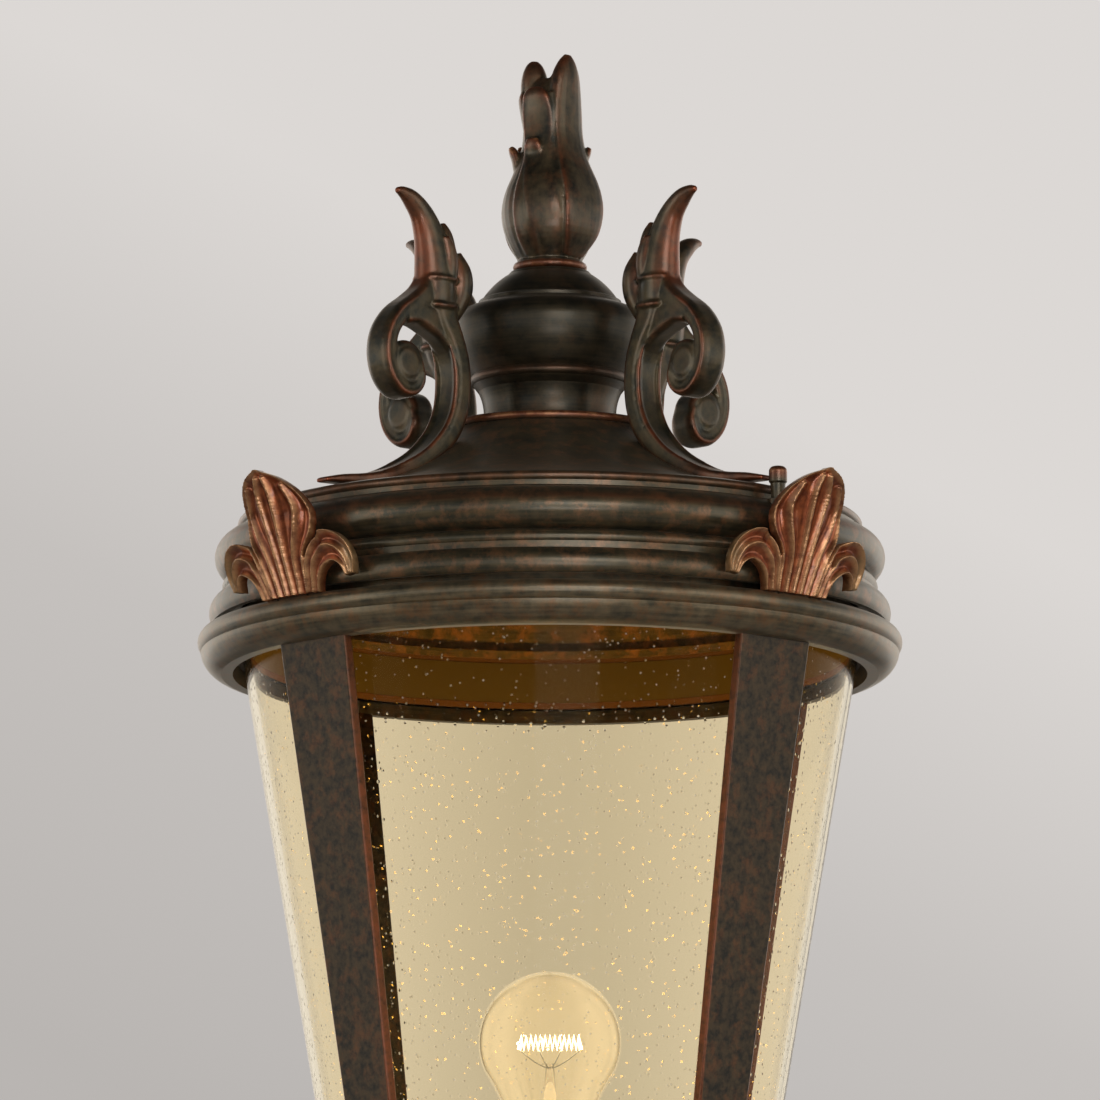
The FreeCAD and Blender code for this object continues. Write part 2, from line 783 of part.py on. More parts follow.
# Finial: closed bud of broad petals with curled sepals and two unequal points, in shares of its girth and height
def build_finial():
    bud_rows = [(0.04, 0.66), (0.10, 0.76), (0.18, 0.90), (0.27, 0.95), (0.36, 0.88), (0.46, 0.70), (0.55, 0.56),
                (0.66, 0.54), (0.77, 0.52), (0.84, 0.40)]
    sepal_rows = [(0.60, 0.06, 0.10, 0.24), (0.80, 0.16, 0.12, 0.40), (0.88, 0.27, 0.125, 0.44),
                  (0.80, 0.38, 0.115, 0.40), (0.65, 0.47, 0.11, 0.30), (0.64, 0.52, 0.10, 0.22),
                  (0.72, 0.55, 0.06, 0.12)]
    broad_rows = [(0.62, 0.06, 0.10, 0.28), (0.81, 0.17, 0.15, 0.46), (0.87, 0.28, 0.16, 0.49),
                  (0.75, 0.41, 0.17, 0.46), (0.52, 0.53, 0.18, 0.43), (0.38, 0.66, 0.22, 0.40),
                  (0.35, 0.77, 0.26, 0.36), (0.38, 0.87, 0.25, 0.29), (0.42, 0.95, 0.17, 0.19),
                  (0.44, 0.995, 0.05, 0.06)]
    rolled_rows = [(0.38, 0.48, 0.14, 0.30), (0.42, 0.59, 0.15, 0.39), (0.44, 0.70, 0.15, 0.40),
                   (0.47, 0.78, 0.11, 0.34), (0.53, 0.82, 0.06, 0.22)]
    point_rows = [(0.12, 0.66, 0.28, 0.32), (0.20, 0.79, 0.29, 0.30), (0.25, 0.88, 0.24, 0.26),
                  (0.27, 0.94, 0.14, 0.16), (0.27, 0.97, 0.05, 0.06)]
    nub_rows = [(0.46, 0.64, 0.10, 0.23), (0.53, 0.71, 0.11, 0.22), (0.62, 0.755, 0.08, 0.14),
                (0.67, 0.765, 0.03, 0.05)]
    petals = [(sepal_rows, azimuth) for azimuth in (0, 62, 122, 180, 244)]
    petals += [(broad_rows, 322), (rolled_rows, 236), (point_rows, 186), (nub_rows, 10), (nub_rows, 100)]

    def sized(rows):
        return [(finial_radius * r, finial_height * z, finial_radius * thick, finial_radius * wide)
                for r, z, thick, wide in rows]

    bud = petal(sized([(0.0, z, r, r) for z, r in bud_rows]))
    collar = tube(0, finial_collar_radius, 0, finial_collar_height)
    body = fused([bud, collar] + [petal(sized(rows), azimuth) for rows, azimuth in petals])
    hole = Part.makeCylinder(tie_diameter / 2.0 + thread_fit, tie_engagement, Vector(0, 0, 0), UP)
    body = body.cut(hole)
    body.translate(Vector(0, 0, finial_level))
    return body


# Tie rod with its washer and nut under the dome
def build_tie():
    under = crest_level + dome_curve(roof_wall)[2][1]
    nut_low = under - tie_washer_thickness - tie_nut_height
    bore = tie_diameter + 2.0 * thread_fit
    top = finial_level + tie_engagement - thread_fit
    rod = Part.makeCylinder(tie_diameter / 2.0, top - nut_low + tie_tail, Vector(0, 0, nut_low - tie_tail), UP)
    washer = tube(bore / 2.0, tie_washer_diameter / 2.0, under - tie_washer_thickness, under)
    return rod, washer, hex_nut(tie_nut_flats, bore, nut_low, tie_nut_height)


# Scroll bracket on the X axis: foot and bow, volute and plume, trimmed to sit on the roof
def build_scroll():
    on_dome = [(131.0, 2.3, 1.0), (121.0, 3.0, 1.9), (110.0, 2.1, 2.6), (100.0, 1.2, 3.2), (91.0, 0.4, 3.7),
               (82.5, 0.0, 4.1), (74.0, 0.4, 4.4), (66.5, 2.2, 4.5)]
    over_dome = [(60.6, -9.2, 4.5), (56.8, -0.6, 4.5), (55.4, 8.0, 4.5), (55.4, 15.8, 4.5), (56.8, 23.0, 4.6),
                 (60.0, 30.6, 5.0), (64.0, 38.0, 5.8), (66.0, 45.0, 6.6)]
    bow_path = [(r, dome_height(r) + rise, half) for r, rise, half in on_dome]
    level = dome_top_height + scroll_rise
    bow_path += [(r, level + rise, half) for r, rise, half in over_dome]

    def raised(rows):
        return [(row[0], level + row[1]) + row[2:] for row in rows]

    volute_path = raised([(67.5, 61.5, 5.0), (70.0, 54.5, 5.2), (74.2, 47.9, 4.8), (81.0, 42.9, 4.3),
                          (89.2, 37.4, 4.0), (95.2, 29.3, 3.9), (96.8, 19.9, 3.9), (94.4, 11.2, 3.6),
                          (88.4, 5.4, 3.3), (82.0, 5.6, 3.0), (78.2, 10.6, 2.7), (79.4, 16.8, 2.5),
                          (85.0, 19.8, 2.3), (89.8, 17.0, 2.0)])
    eye = raised([(86.2, 12.9)])[0]
    horn = raised([(66.0, 34.5, 6.4, 5.6), (67.4, 43.0, 8.4, 6.6), (68.0, 52.0, 8.4, 7.4), (69.2, 62.5, 7.4, 7.2),
                   (71.6, 72.3, 6.2, 6.2), (75.6, 80.2, 4.9, 4.8), (81.0, 86.0, 3.5, 3.2), (87.0, 89.3, 1.9, 1.6)])
    upper_lobe = raised([(62.0, 51.5, 4.0, 5.0), (61.0, 63.5, 4.6, 5.2), (62.2, 73.5, 3.6, 4.0),
                         (64.0, 79.0, 1.5, 1.8)])
    lower_lobe = raised([(59.0, 39.5, 3.4, 4.6), (54.8, 49.5, 5.0, 5.6), (54.8, 57.5, 4.4, 5.0),
                         (57.2, 64.4, 1.8, 2.4)])
    leaflet = raised([(66.0, 41.5, 4.4, 2.6), (66.2, 53.5, 5.2, 3.0), (67.2, 63.5, 4.2, 2.4),
                      (69.6, 71.0, 1.6, 1.0)])
    collars = raised([(65.0, 44.1), (65.6, 57.3)])

    channel = [(r, z, scroll_channel_depth) for r, z in sideways(bow_path[4:14], -1)]
    bow = ribbon(bow_path, scroll_width).cut(ribbon(channel, scroll_width - 2.0 * scroll_rim))
    shapes = [bow, ribbon(volute_path, scroll_width)]
    boss = Part.makeCylinder(scroll_eye_diameter / 2.0, scroll_eye_width,
                             Vector(eye[0], -scroll_eye_width / 2.0, eye[1]), Vector(0, 1, 0))
    shapes += [boss, petal(horn), petal(upper_lobe), petal(lower_lobe)]
    shapes += [petal(leaflet, side=side) for side in (-0.5 * scroll_width, 0.5 * scroll_width)]
    for radius, height in collars:
        rings = [(-0.5, 0.42), (0.0, 0.50), (0.5, 0.42)]
        sections = [oval(Vector(radius, 0, height + up * scroll_collar_height), share * scroll_collar_depth,
                         share * scroll_collar_width) for up, share in rings]
        shapes.append(Part.makeLoft(sections, True, False))
    body = fused(shapes)
    body.translate(Vector(0, 0, crest_level))
    screw_top = crest_level + dome_height(scroll_screw_radius) + scroll_screw_reach
    hole = peg(small_screw_diameter + 2.0 * thread_fit, scroll_screw_radius, crest_level, screw_top)
    return body.cut([roof_envelope(), hole])


# Screw that holds a scroll from under the dome
def build_scroll_screw():
    seat = crest_level + screw_seat()
    top = crest_level + dome_height(scroll_screw_radius) + scroll_screw_reach - thread_fit
    head = peg(2.0 * small_screw_diameter, scroll_screw_radius, seat - 0.6 * small_screw_diameter, seat)
    return peg(small_screw_diameter, scroll_screw_radius, seat, top).fuse(head)


# Thumbscrew on the axis, shank, neck and domed head, and its hole in the upper ring
def build_thumbscrew():
    seat = thumb_boss_top
    neck = thumb_neck_diameter / 2.0
    head = thumb_head_diameter / 2.0
    shank = thumb_shank / 2.0
    low = ring_rise - thumb_engagement
    under = seat + thumb_neck_height
    top = under + thumb_head_height
    screw = turned([
        (0, low),
        (shank, low),
        (shank, seat),
        (shank + slip_fit, seat),
        (neck, under),
        (head, under + 0.8),
        (head, top - thumb_round),
        ((head - 0.3 * thumb_round, top - 0.3 * thumb_round), (head - thumb_round, top)),
        (0, top),
    ], crest_level)
    screw.translate(Vector(thumb_circle_radius, 0, 0))
    wide = thumb_shank + 2.0 * slip_fit
    hole = peg(wide, thumb_circle_radius, crest_level + low - slip_fit, crest_level + ring_rise)
    return screw, hole


# Bulb with its cap and filament stem, and the lampholder round the cap
def build_lamp():
    foot = bulb_foot
    top = foot + bulb_length
    cap_top = foot + cap_length
    ball = bulb_diameter / 2.0
    neck = bulb_neck_diameter / 2.0
    middle = top - ball
    join = 0.42 * ball
    reach = math.sqrt(ball ** 2 - join ** 2)
    sunk = cap_top - 0.6 * cap_length

    def half_section(inset):
        round_side = (ball - inset) / ball
        return [
            (neck - inset, sunk),
            (neck - inset, cap_top),
            ((neck - inset + 0.28 * (reach - neck), cap_top + 0.4 * (middle - join - cap_top)),
             (reach * round_side, middle - join * round_side)),
            ((ball - inset, middle), (0, top - inset)),
        ]

    outer = turned([(0, sunk)] + half_section(0.0))
    inner = turned([(0, sunk + bulb_wall)] + [(neck - bulb_wall, sunk + bulb_wall)] + half_section(bulb_wall)[1:])
    glass = outer.cut(inner)
    cap_radius = cap_diameter / 2.0
    tip = foot + cap_length / 9.0
    cap = turned([
        (0, foot),
        (cap_radius / 3.0, foot),
        (cap_radius / 3.0, tip),
        (cap_radius, tip + cap_radius / 3.0),
        (cap_radius, cap_top - 2.0),
        (cap_radius + 0.5, cap_top),
        (neck + thread_fit, cap_top),
        (neck + thread_fit, sunk - thread_fit),
        (0, sunk - thread_fit),
    ])
    stem_low = sunk + bulb_wall + thread_fit
    post = turned([(0, stem_low), (neck / 2.5, stem_low), (neck / 6.0, middle - ball), (neck / 8.0, middle - 4.0),
                   (0, middle - 4.0)])
    wire = 0.5
    coil = Part.makeTorus(0.42 * ball, wire, Vector(0, 0, middle + 4.0), UP)
    arms = []
    for angle in range(0, 360, 90):
        arm = Part.makeCylinder(wire, 0.42 * ball, Vector(0, 0, middle - 4.0), Vector(1, 0, 0.635))
        arm = arm.fuse(Part.makeCylinder(wire, 8.0, Vector(0, 0, middle - 4.5), UP))
        reach_arm = Part.makeCylinder(wire, 0.42 * ball, Vector(0, 0, middle + 3.0), Vector(1, 0, 0.08))
        arms += [spun(arm, angle), spun(reach_arm, angle)]
    stem = fused([post, coil] + arms)
    return glass, cap, stem


# Lampholder: ceramic body on the pipe, threaded sleeve and centre contact
def build_lampholder():
    foot = bulb_foot
    well = foot - holder_wall / 2.0
    low = floor_level + holder_stand
    high = low + holder_height
    outer = holder_diameter / 2.0
    sleeve_in = cap_diameter / 2.0 + 2.0 * slip_fit
    sleeve_out = sleeve_in + 0.8
    pocket = sleeve_out + slip_fit
    pipe_top = low + 2.0 * holder_wall
    body = turned([
        (pipe_radius + thread_fit, low),
        (0.72 * outer, low),
        (outer, low + 0.3 * holder_height),
        (outer, high - 2.0),
        (outer - 2.0, high),
        (pocket, high),
        (pocket, well),
        (pipe_bore / 3.0, well),
        (pipe_bore / 3.0, pipe_top),
        (pipe_radius + thread_fit, pipe_top),
    ])
    sleeve = tube(sleeve_in, sleeve_out, well, high - 1.0)
    contact = tube(pipe_bore / 3.0, sleeve_in - 2.0, well, foot - thread_fit)
    return body, sleeve, contact, pipe_top


def export(node, solids):
    """Write one node's STEP file from one solid or a group of separate solids."""
    shape = solids if not isinstance(solids, list) else Part.makeCompound(solids)
    shape.exportStep("parts/" + node + ".step")


def each(shapes):
    """Copies of one upright's shapes at every upright."""
    return [spun(shape, first_azimuth + index * quarter) for shape in shapes for index in range(upright_count)]


os.makedirs("parts", exist_ok=True)

base, base_screws = build_base()
fitter, fitter_screws = build_fitter()
plate, ring_screws, ring_holes, earth, terminal = build_floor()
upper_screws, lower_screws, upper_holes, lower_holes = build_upright_screws()
holder, sleeve, contact, pipe_top = build_lampholder()
pipe, nut_under, nut_over = build_pipe(pipe_top)
bulb, cap, stem = build_lamp()
glass, gasket_low, gasket_high = build_glass()
leaf, leaf_holes = build_leaf()
thumbscrew, thumb_hole = build_thumbscrew()
thumb_holes = [spun(thumb_hole, azimuth) for azimuth in thumb_azimuths.values()]
rod, washer, tie_nut = build_tie()
upright = build_upright().cut(upper_holes + lower_holes)
scroll = build_scroll()
seal = tube(ring_throat_radius + slip_fit, upstand_radius - slip_fit, crest_level + upstand_height,
            crest_level + seal_level)

export("base_casting", base)
export("base_set_screws", base_screws)
export("column", build_column())
export("post_fitter", fitter)
export("fitter_set_screws", fitter_screws)
export("lantern_bowl", build_bowl())
export("stem_pipe", pipe)
export("stem_nut_lower", nut_under)
export("stem_nut_upper", nut_over)
export("floor_plate", plate)
export("ring_screws", ring_screws)
export("earth_screw", earth)
export("terminal_block", terminal)
export("lower_ring", build_lower_ring(ring_holes, each(lower_holes)))
export("glass_shade", glass)
export("glass_gasket_lower", gasket_low)
export("glass_gasket_upper", gasket_high)
export("upright_screws_upper", each(upper_screws))
export("upright_screws_lower", each(lower_screws))
export("upper_ring", build_upper_ring(each(upper_holes) + each(leaf_holes) + thumb_holes))
export("lampholder_body", holder)
export("lampholder_sleeve", sleeve)
export("lampholder_contact", contact)
export("bulb_glass", bulb)
export("bulb_cap", cap)
export("bulb_stem", stem)
export("roof", build_roof())
export("roof_seal", seal)
export("crown", build_crown())
export("finial", build_finial())
export("tie_rod", rod)
export("tie_washer", washer)
export("tie_nut", tie_nut)
export("scroll_screws", pattern(build_scroll_screw(), scroll_count, first_azimuth))
for name, azimuth in thumb_azimuths.items():
    export(name, spun(thumbscrew, azimuth))
for index in range(upright_count):
    azimuth = first_azimuth + index * quarter
    export("upright_%d" % (index + 1), spun(upright, azimuth))
    export("leaf_%d" % (index + 1), spun(leaf, azimuth))
for index in range(scroll_count):
    export("scroll_%d" % (index + 1), spun(scroll, first_azimuth + index * 360.0 / scroll_count))
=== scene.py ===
"""Dresses the outdoor lamp post: finishes, cast ornament, lit lamp and studio."""

import json
import logging
import math
from collections.abc import Sequence
from dataclasses import dataclass
from enum import Enum

import bpy
import numpy as np
from mathutils import Matrix, Vector


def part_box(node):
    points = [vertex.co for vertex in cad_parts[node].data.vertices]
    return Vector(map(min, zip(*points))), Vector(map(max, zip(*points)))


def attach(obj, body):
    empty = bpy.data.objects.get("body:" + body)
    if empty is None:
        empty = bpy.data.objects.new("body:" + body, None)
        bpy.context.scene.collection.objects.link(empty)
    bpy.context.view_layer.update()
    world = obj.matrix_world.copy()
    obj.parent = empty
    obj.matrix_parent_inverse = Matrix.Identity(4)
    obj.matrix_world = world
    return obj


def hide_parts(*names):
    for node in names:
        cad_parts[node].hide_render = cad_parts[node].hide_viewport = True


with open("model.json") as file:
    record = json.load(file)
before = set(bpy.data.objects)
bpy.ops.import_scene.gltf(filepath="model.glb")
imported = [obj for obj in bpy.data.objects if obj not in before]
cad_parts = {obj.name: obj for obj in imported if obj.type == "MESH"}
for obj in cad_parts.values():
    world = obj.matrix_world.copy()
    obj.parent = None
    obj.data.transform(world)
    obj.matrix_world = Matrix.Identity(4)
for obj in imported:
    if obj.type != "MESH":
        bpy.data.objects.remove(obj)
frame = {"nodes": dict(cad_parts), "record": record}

LOG = logging.getLogger("lamp_post")
MM = 0.001
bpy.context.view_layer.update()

Point = tuple[float, ...]
Inputs = dict[int | str, object]
Stops = Sequence[tuple[float, Point]]
Tree = bpy.types.NodeTree
Socket = bpy.types.NodeSocket
Piece = bpy.types.Object
Material = bpy.types.Material


class Body(Enum):
    """Moving bodies of the part that a piece can ride on."""

    POST = "post"
    ROOF = "roof"


class Wear(Enum):
    """Where a bronze piece wears to the copper; on moulding levels that copper is partly a painted highlight
    on the crests.
    """

    PROUD = "where the mesh stands proud"
    LEVELS = "at given heights of a turned moulding"
    STRAP_EDGES = "along the edges of the uprights"


class Slot(Enum):
    """Material slots of the part's record."""

    BRONZE = "bronze"
    COPPER_LEAF = "copper_leaf"
    AMBER_GLASS = "amber_glass"
    CLEAR_GLASS = "clear_glass"
    FILAMENT = "filament"
    PORCELAIN = "porcelain"
    BRASS = "brass"
    STEEL = "steel"
    SILICONE = "silicone"
    TERMINAL = "terminal"


def node_level(node: str, top: bool = True) -> float:
    """Reads a level from the frame.

    Args:
        node: Name of the CAD node.
        top: True for the node's highest point, False for its lowest.

    Returns:
        The level in metres.
    """
    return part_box(node)[1 if top else 0].z


RING_TOP_OVER_CREST = 12.0 * MM
CREST_LEVEL = node_level("upper_ring") - RING_TOP_OVER_CREST
FINIAL_LEVEL = node_level("finial", top=False)
STRAP_HEAD_WIDTH = 40.0 * MM
STRAP_FOOT_WIDTH = 21.0 * MM
DIAGONALS = (45.0, 135.0, 225.0, 315.0)

# Socket numbers of a colour mix, whose names Blender repeats for other kinds of value.
MIX_SHARE, MIX_UNDER, MIX_OVER, MIXED = 0, 6, 7, 2


def linear(code: str) -> tuple[float, float, float, float]:
    """Turns an sRGB hex colour to linear light.

    Args:
        code: Colour as #rrggbb.

    Returns:
        Linear red, green and blue, and a full alpha.
    """
    parts = [int(code[i : i + 2], 16) / 255.0 for i in (1, 3, 5)]
    light = [p / 12.92 if p <= 0.04045 else ((p + 0.055) / 1.055) ** 2.4 for p in parts]
    return (light[0], light[1], light[2], 1.0)


def grey(value: float) -> tuple[float, float, float, float]:
    """Gives a neutral linear colour."""
    return (value, value, value, 1.0)


def scale_of(size_mm: float) -> float:
    """Gives the texture scale for a pattern of a real size in millimetres."""
    return 1.0 / (size_mm * MM)


def add_node(
    tree: Tree, kind: str, inputs: Inputs | None = None, stops: Stops = (), **settings: object
) -> bpy.types.Node:
    """Adds one shader node with its settings, values and links.

    Args:
        tree: Node tree that takes the node.
        kind: Blender's name for the node type, after ShaderNode.
        inputs: Values or output sockets, keyed by input name or number.
        stops: Positions and linear colours of a ramp, in rising order.
        settings: Properties to set on the node.

    Returns:
        The new node.
    """
    node = tree.nodes.new("ShaderNode" + kind)
    for name, value in settings.items():
        setattr(node, name, value)
    for key, value in (inputs or {}).items():
        if isinstance(value, Socket):
            tree.links.new(value, node.inputs[key])
        else:
            node.inputs[key].default_value = value
    if stops:
        elements = node.color_ramp.elements
        while len(elements) < len(stops):
            elements.new(1.0)
        for element, (position, colour) in zip(elements, stops):
            element.position = position
            element.color = colour
    return node


def new_material(name: str) -> tuple[Material, Tree]:
    """Starts a material.

    Args:
        name: Name of the real finish.

    Returns:
        The material and its emptied tree.
    """
    material = bpy.data.materials.new(name)
    material.use_nodes = True
    material.node_tree.nodes.clear()
    return material, material.node_tree


@dataclass(frozen=True)
class BronzePatina:
    """Cast aluminium in a near-black bronze patina, satin under a thin lacquer.

    It gives the eye a blotched dark skin with rusty specks, and red-brown then copper where it wears, which
    on turned mouldings is partly a painted highlight on the crests.
    """

    name: str
    dark: str = "#35372b"
    brown: str = "#63583f"
    rust: str = "#6f5238"
    blush: str = "#84492b"
    copper: str = "#cf9565"
    # Painted warm lamp light on an inner face.
    bore_lamp_glow: str = "#4c431f"
    roughness: float = 0.42
    coat: float = 0.6
    mottle_mm: float = 6.0
    tone_span: tuple[float, float] = (0.36, 0.62)
    rust_mm: float = 14.0
    rust_share: float = 0.55
    rust_span: tuple[float, float] = (0.50, 0.72)
    grit_mm: float = 1.6
    grit_height_mm: float = 0.2
    streak: float = 0.0
    streak_scale: Point = (40.0, 40.0, 900.0)
    lamp_glow_bore_mm: float = 0.0
    wear: Wear = Wear.PROUD
    rub_and_highlight_levels: tuple[Point, ...] = ()
    rub_and_highlight_range: tuple[float, float] = (-20.0, 250.0)

    def build(self) -> Material:
        """Builds the finish.

        Returns:
            The material, which reads a rub attribute where a piece has one.
        """
        material, tree = new_material(self.name)
        place = add_node(tree, "TexCoord").outputs["Object"]
        cloud = {"Vector": place, "Scale": scale_of(self.mottle_mm), "Detail": 5.0, "Roughness": 0.62}
        mottle = add_node(tree, "TexNoise", cloud).outputs["Fac"]
        lathe = add_node(tree, "VectorMath", {0: place, 1: self.streak_scale}, operation="MULTIPLY")
        lines = add_node(tree, "TexNoise", {"Vector": lathe.outputs["Vector"], "Scale": 1.0, "Detail": 3.0})
        shares = {0: self.streak, 2: mottle, 3: lines.outputs["Fac"]}
        uneven = add_node(tree, "Mix", shares, data_type="FLOAT").outputs[0]
        tones = tuple(zip(self.tone_span, (linear(self.dark), linear(self.brown))))
        colour = add_node(tree, "ValToRGB", {"Fac": uneven}, tones).outputs["Color"]
        for share, tint in self.layers(tree, place, mottle):
            values = {MIX_SHARE: share, MIX_UNDER: colour, MIX_OVER: linear(tint)}
            colour = add_node(tree, "Mix", values, data_type="RGBA").outputs[MIXED]
        rough = add_node(
            tree,
            "MapRange",
            {
                "Value": uneven,
                "From Min": 0.3,
                "From Max": 0.7,
                "To Min": self.roughness - 0.08,
                "To Max": self.roughness + 0.12,
            },
        )
        grit = add_node(tree, "TexNoise", {"Vector": place, "Scale": scale_of(self.grit_mm), "Detail": 3.0})
        relief = {"Strength": 0.12, "Distance": self.grit_height_mm * MM, "Height": grit.outputs["Fac"]}
        shader = add_node(
            tree,
            "BsdfPrincipled",
            {
                "Base Color": colour,
                "Metallic": 0.75,
                "Roughness": rough.outputs["Result"],
                "Coat Weight": self.coat,
                "Coat Roughness": 0.28,
                "Coat IOR": 1.7,
                "Sheen Weight": 0.06,
                "Sheen Roughness": 0.45,
                "Sheen Tint": linear("#e6dccf"),
                "Normal": add_node(tree, "Bump", relief).outputs["Normal"],
            },
        )
        add_node(tree, "OutputMaterial", {"Surface": shader.outputs["BSDF"]})
        return material

    def layers(self, tree: Tree, place: Socket, mottle: Socket) -> list[tuple[Socket, str]]:
        """Makes what lies over the patina: rust, the rub's red-brown and copper, and the lamp's warm light
        painted on an inner face.

        Args:
            tree: Material's node tree.
            place: Object coordinates.
            mottle: Noise that breaks the rub up.

        Returns:
            The share that shows and the colour of each layer, from below.
        """
        cloud = {"Vector": place, "Scale": scale_of(self.rust_mm), "Detail": 7.0, "Roughness": 0.7}
        blotch = add_node(tree, "TexNoise", cloud)
        specks = tuple(zip(self.rust_span, (grey(0.0), grey(self.rust_share))))
        rusty = add_node(tree, "ValToRGB", {"Fac": blotch.outputs["Fac"]}, specks)
        made = [(rusty.outputs["Color"], self.rust)]
        rub = self.wear_and_highlight_mask(tree, place, mottle)
        for start, tint in ((0.0, self.blush), (0.5, self.copper)):
            share = add_node(tree, "MapRange", {"Value": rub, "From Min": start, "From Max": start + 0.5})
            made.append((share.outputs["Result"], tint))
        # Inside the given radius the lamp's warm light is painted on.
        if self.lamp_glow_bore_mm:
            flat = add_node(tree, "VectorMath", {0: place, 1: (1.0, 1.0, 0.0)}, operation="MULTIPLY")
            radius = add_node(tree, "VectorMath", {0: flat.outputs["Vector"]}, operation="LENGTH")
            limits = {0: radius.outputs["Value"], 1: self.lamp_glow_bore_mm * MM}
            inside = add_node(tree, "Math", limits, operation="LESS_THAN")
            made.append((inside.outputs["Value"], self.bore_lamp_glow))
        return made

    def wear_and_highlight_mask(self, tree: Tree, place: Socket, mottle: Socket) -> Socket:
        """Makes the share of copper that shows: wear, and on moulding levels partly a painted highlight on
        the crests.

        Args:
            tree: Material's node tree.
            place: Object coordinates.
            mottle: Noise that breaks the rub up.

        Returns:
            A socket from 0, patina, to 1, bare copper.
        """
        if self.wear is Wear.STRAP_EDGES:
            wear_and_painted_light = self.strap_edges(tree, place)
        elif self.wear is Wear.LEVELS:
            wear_and_painted_light = self.moulding_rub_and_highlight(tree, place)
        else:
            wear_and_painted_light = add_node(tree, "Attribute", attribute_name="rub").outputs["Fac"]
        breaks = {"Value": mottle, "From Min": 0.3, "From Max": 0.6, "To Min": 0.25}
        uneven = add_node(tree, "MapRange", breaks).outputs["Result"]
        share = add_node(tree, "Math", {0: wear_and_painted_light, 1: uneven}, operation="MULTIPLY", use_clamp=True)
        return share.outputs["Value"]

    def moulding_rub_and_highlight(self, tree: Tree, place: Socket) -> Socket:
        """Finds the rims of turned mouldings by their height over the ring's crest, for copper that is partly
        wear and partly a painted highlight.

        Args:
            tree: Material's node tree.
            place: Object coordinates.

        Returns:
            A socket that rises from 0 to each level's share.
        """
        axes = add_node(tree, "SeparateXYZ", {0: place})
        low, high = self.rub_and_highlight_range
        span = {"From Min": CREST_LEVEL + low * MM, "From Max": CREST_LEVEL + high * MM}
        height = add_node(tree, "MapRange", {"Value": axes.outputs["Z"], **span})
        stops = []
        for level, half, share in self.rub_and_highlight_levels:
            for step, value in ((-half, 0.0), (0.0, share), (half, 0.0)):
                stops.append(((level + step - low) / (high - low), grey(value)))
        return add_node(tree, "ValToRGB", {"Fac": height.outputs["Result"]}, stops).outputs["Color"]

    def strap_edges(self, tree: Tree, place: Socket) -> Socket:
        """Finds the edges of the four tapered uprights, which stand on the diagonals.

        Args:
            tree: Material's node tree.
            place: Object coordinates.

        Returns:
            A socket from 0 on the faces to its most at the edges.
        """
        low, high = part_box("upright_1")
        quarter = (0.0, 0.0, math.radians(DIAGONALS[0]))
        turned = add_node(tree, "Mapping", {"Vector": place, "Rotation": quarter})
        flat = add_node(tree, "VectorMath", {0: turned.outputs["Vector"]}, operation="ABSOLUTE")
        axes = add_node(tree, "SeparateXYZ", {0: flat.outputs["Vector"]})
        across = add_node(tree, "Math", {0: axes.outputs["X"], 1: axes.outputs["Y"]}, operation="MINIMUM")
        half = add_node(
            tree,
            "MapRange",
            {
                "Value": axes.outputs["Z"],
                "From Min": low.z,
                "From Max": high.z,
                "To Min": STRAP_FOOT_WIDTH / 2,
                "To Max": STRAP_HEAD_WIDTH / 2,
            },
        )
        sides = {0: half.outputs["Result"], 1: across.outputs["Value"]}
        inset = add_node(tree, "Math", sides, operation="SUBTRACT").outputs["Value"]
        fade = {"Value": inset, "From Min": 0.2 * MM, "From Max": 0.9 * MM, "To Min": 0.6, "To Max": 0.0}
        return add_node(tree, "MapRange", fade).outputs["Result"]


@dataclass(frozen=True)
class LeafPatina:
    """Cast aluminium in a red copper patina under clear lacquer.

    It gives the eye brick-red hollows, pale ridges that are partly wear and partly a painted highlight, and
    olive brass at the tips.
    """

    name: str = "red_copper_patina"
    hollow: str = "#a85a32"
    deep: str = "#6c3018"
    gilt: str = "#94805c"
    # Pale ridge colour: partly wear, partly a painted highlight.
    ridge: str = "#d8a97a"
    mottle_mm: float = 5.0
    tone_span: tuple[float, float] = (0.34, 0.6)

    def build(self) -> Material:
        """Builds the finish.

        Returns:
            The material, which reads the piece's rub and gilt attributes.
        """
        material, tree = new_material(self.name)
        place = add_node(tree, "TexCoord").outputs["Object"]
        cloud = {"Vector": place, "Scale": scale_of(self.mottle_mm), "Detail": 5.0, "Roughness": 0.6}
        mottle = add_node(tree, "TexNoise", cloud).outputs["Fac"]
        tones = tuple(zip(self.tone_span, (linear(self.deep), linear(self.hollow))))
        colour = add_node(tree, "ValToRGB", {"Fac": mottle}, tones).outputs["Color"]
        gilded = add_node(tree, "Attribute", attribute_name="gilt").outputs["Fac"]
        wear_and_painted_light = add_node(tree, "Attribute", attribute_name="rub").outputs["Fac"]
        breaks = {"Value": mottle, "From Min": 0.35, "From Max": 0.6, "To Min": 0.3}
        crest = add_node(tree, "MapRange", breaks).outputs["Result"]
        ridge_wear_and_highlight = add_node(tree, "Math", {0: wear_and_painted_light, 1: crest}, operation="MULTIPLY").outputs["Value"]
        for share, tint in ((gilded, self.gilt), (ridge_wear_and_highlight, self.ridge)):
            values = {MIX_SHARE: share, MIX_UNDER: colour, MIX_OVER: linear(tint)}
            colour = add_node(tree, "Mix", values, data_type="RGBA").outputs[MIXED]
        skin = {"Metallic": 0.7, "Roughness": 0.3, "Coat Weight": 0.7, "Coat Roughness": 0.12}
        shader = add_node(tree, "BsdfPrincipled", {"Base Color": colour, **skin})
        add_node(tree, "OutputMaterial", {"Surface": shader.outputs["BSDF"]})
        return material


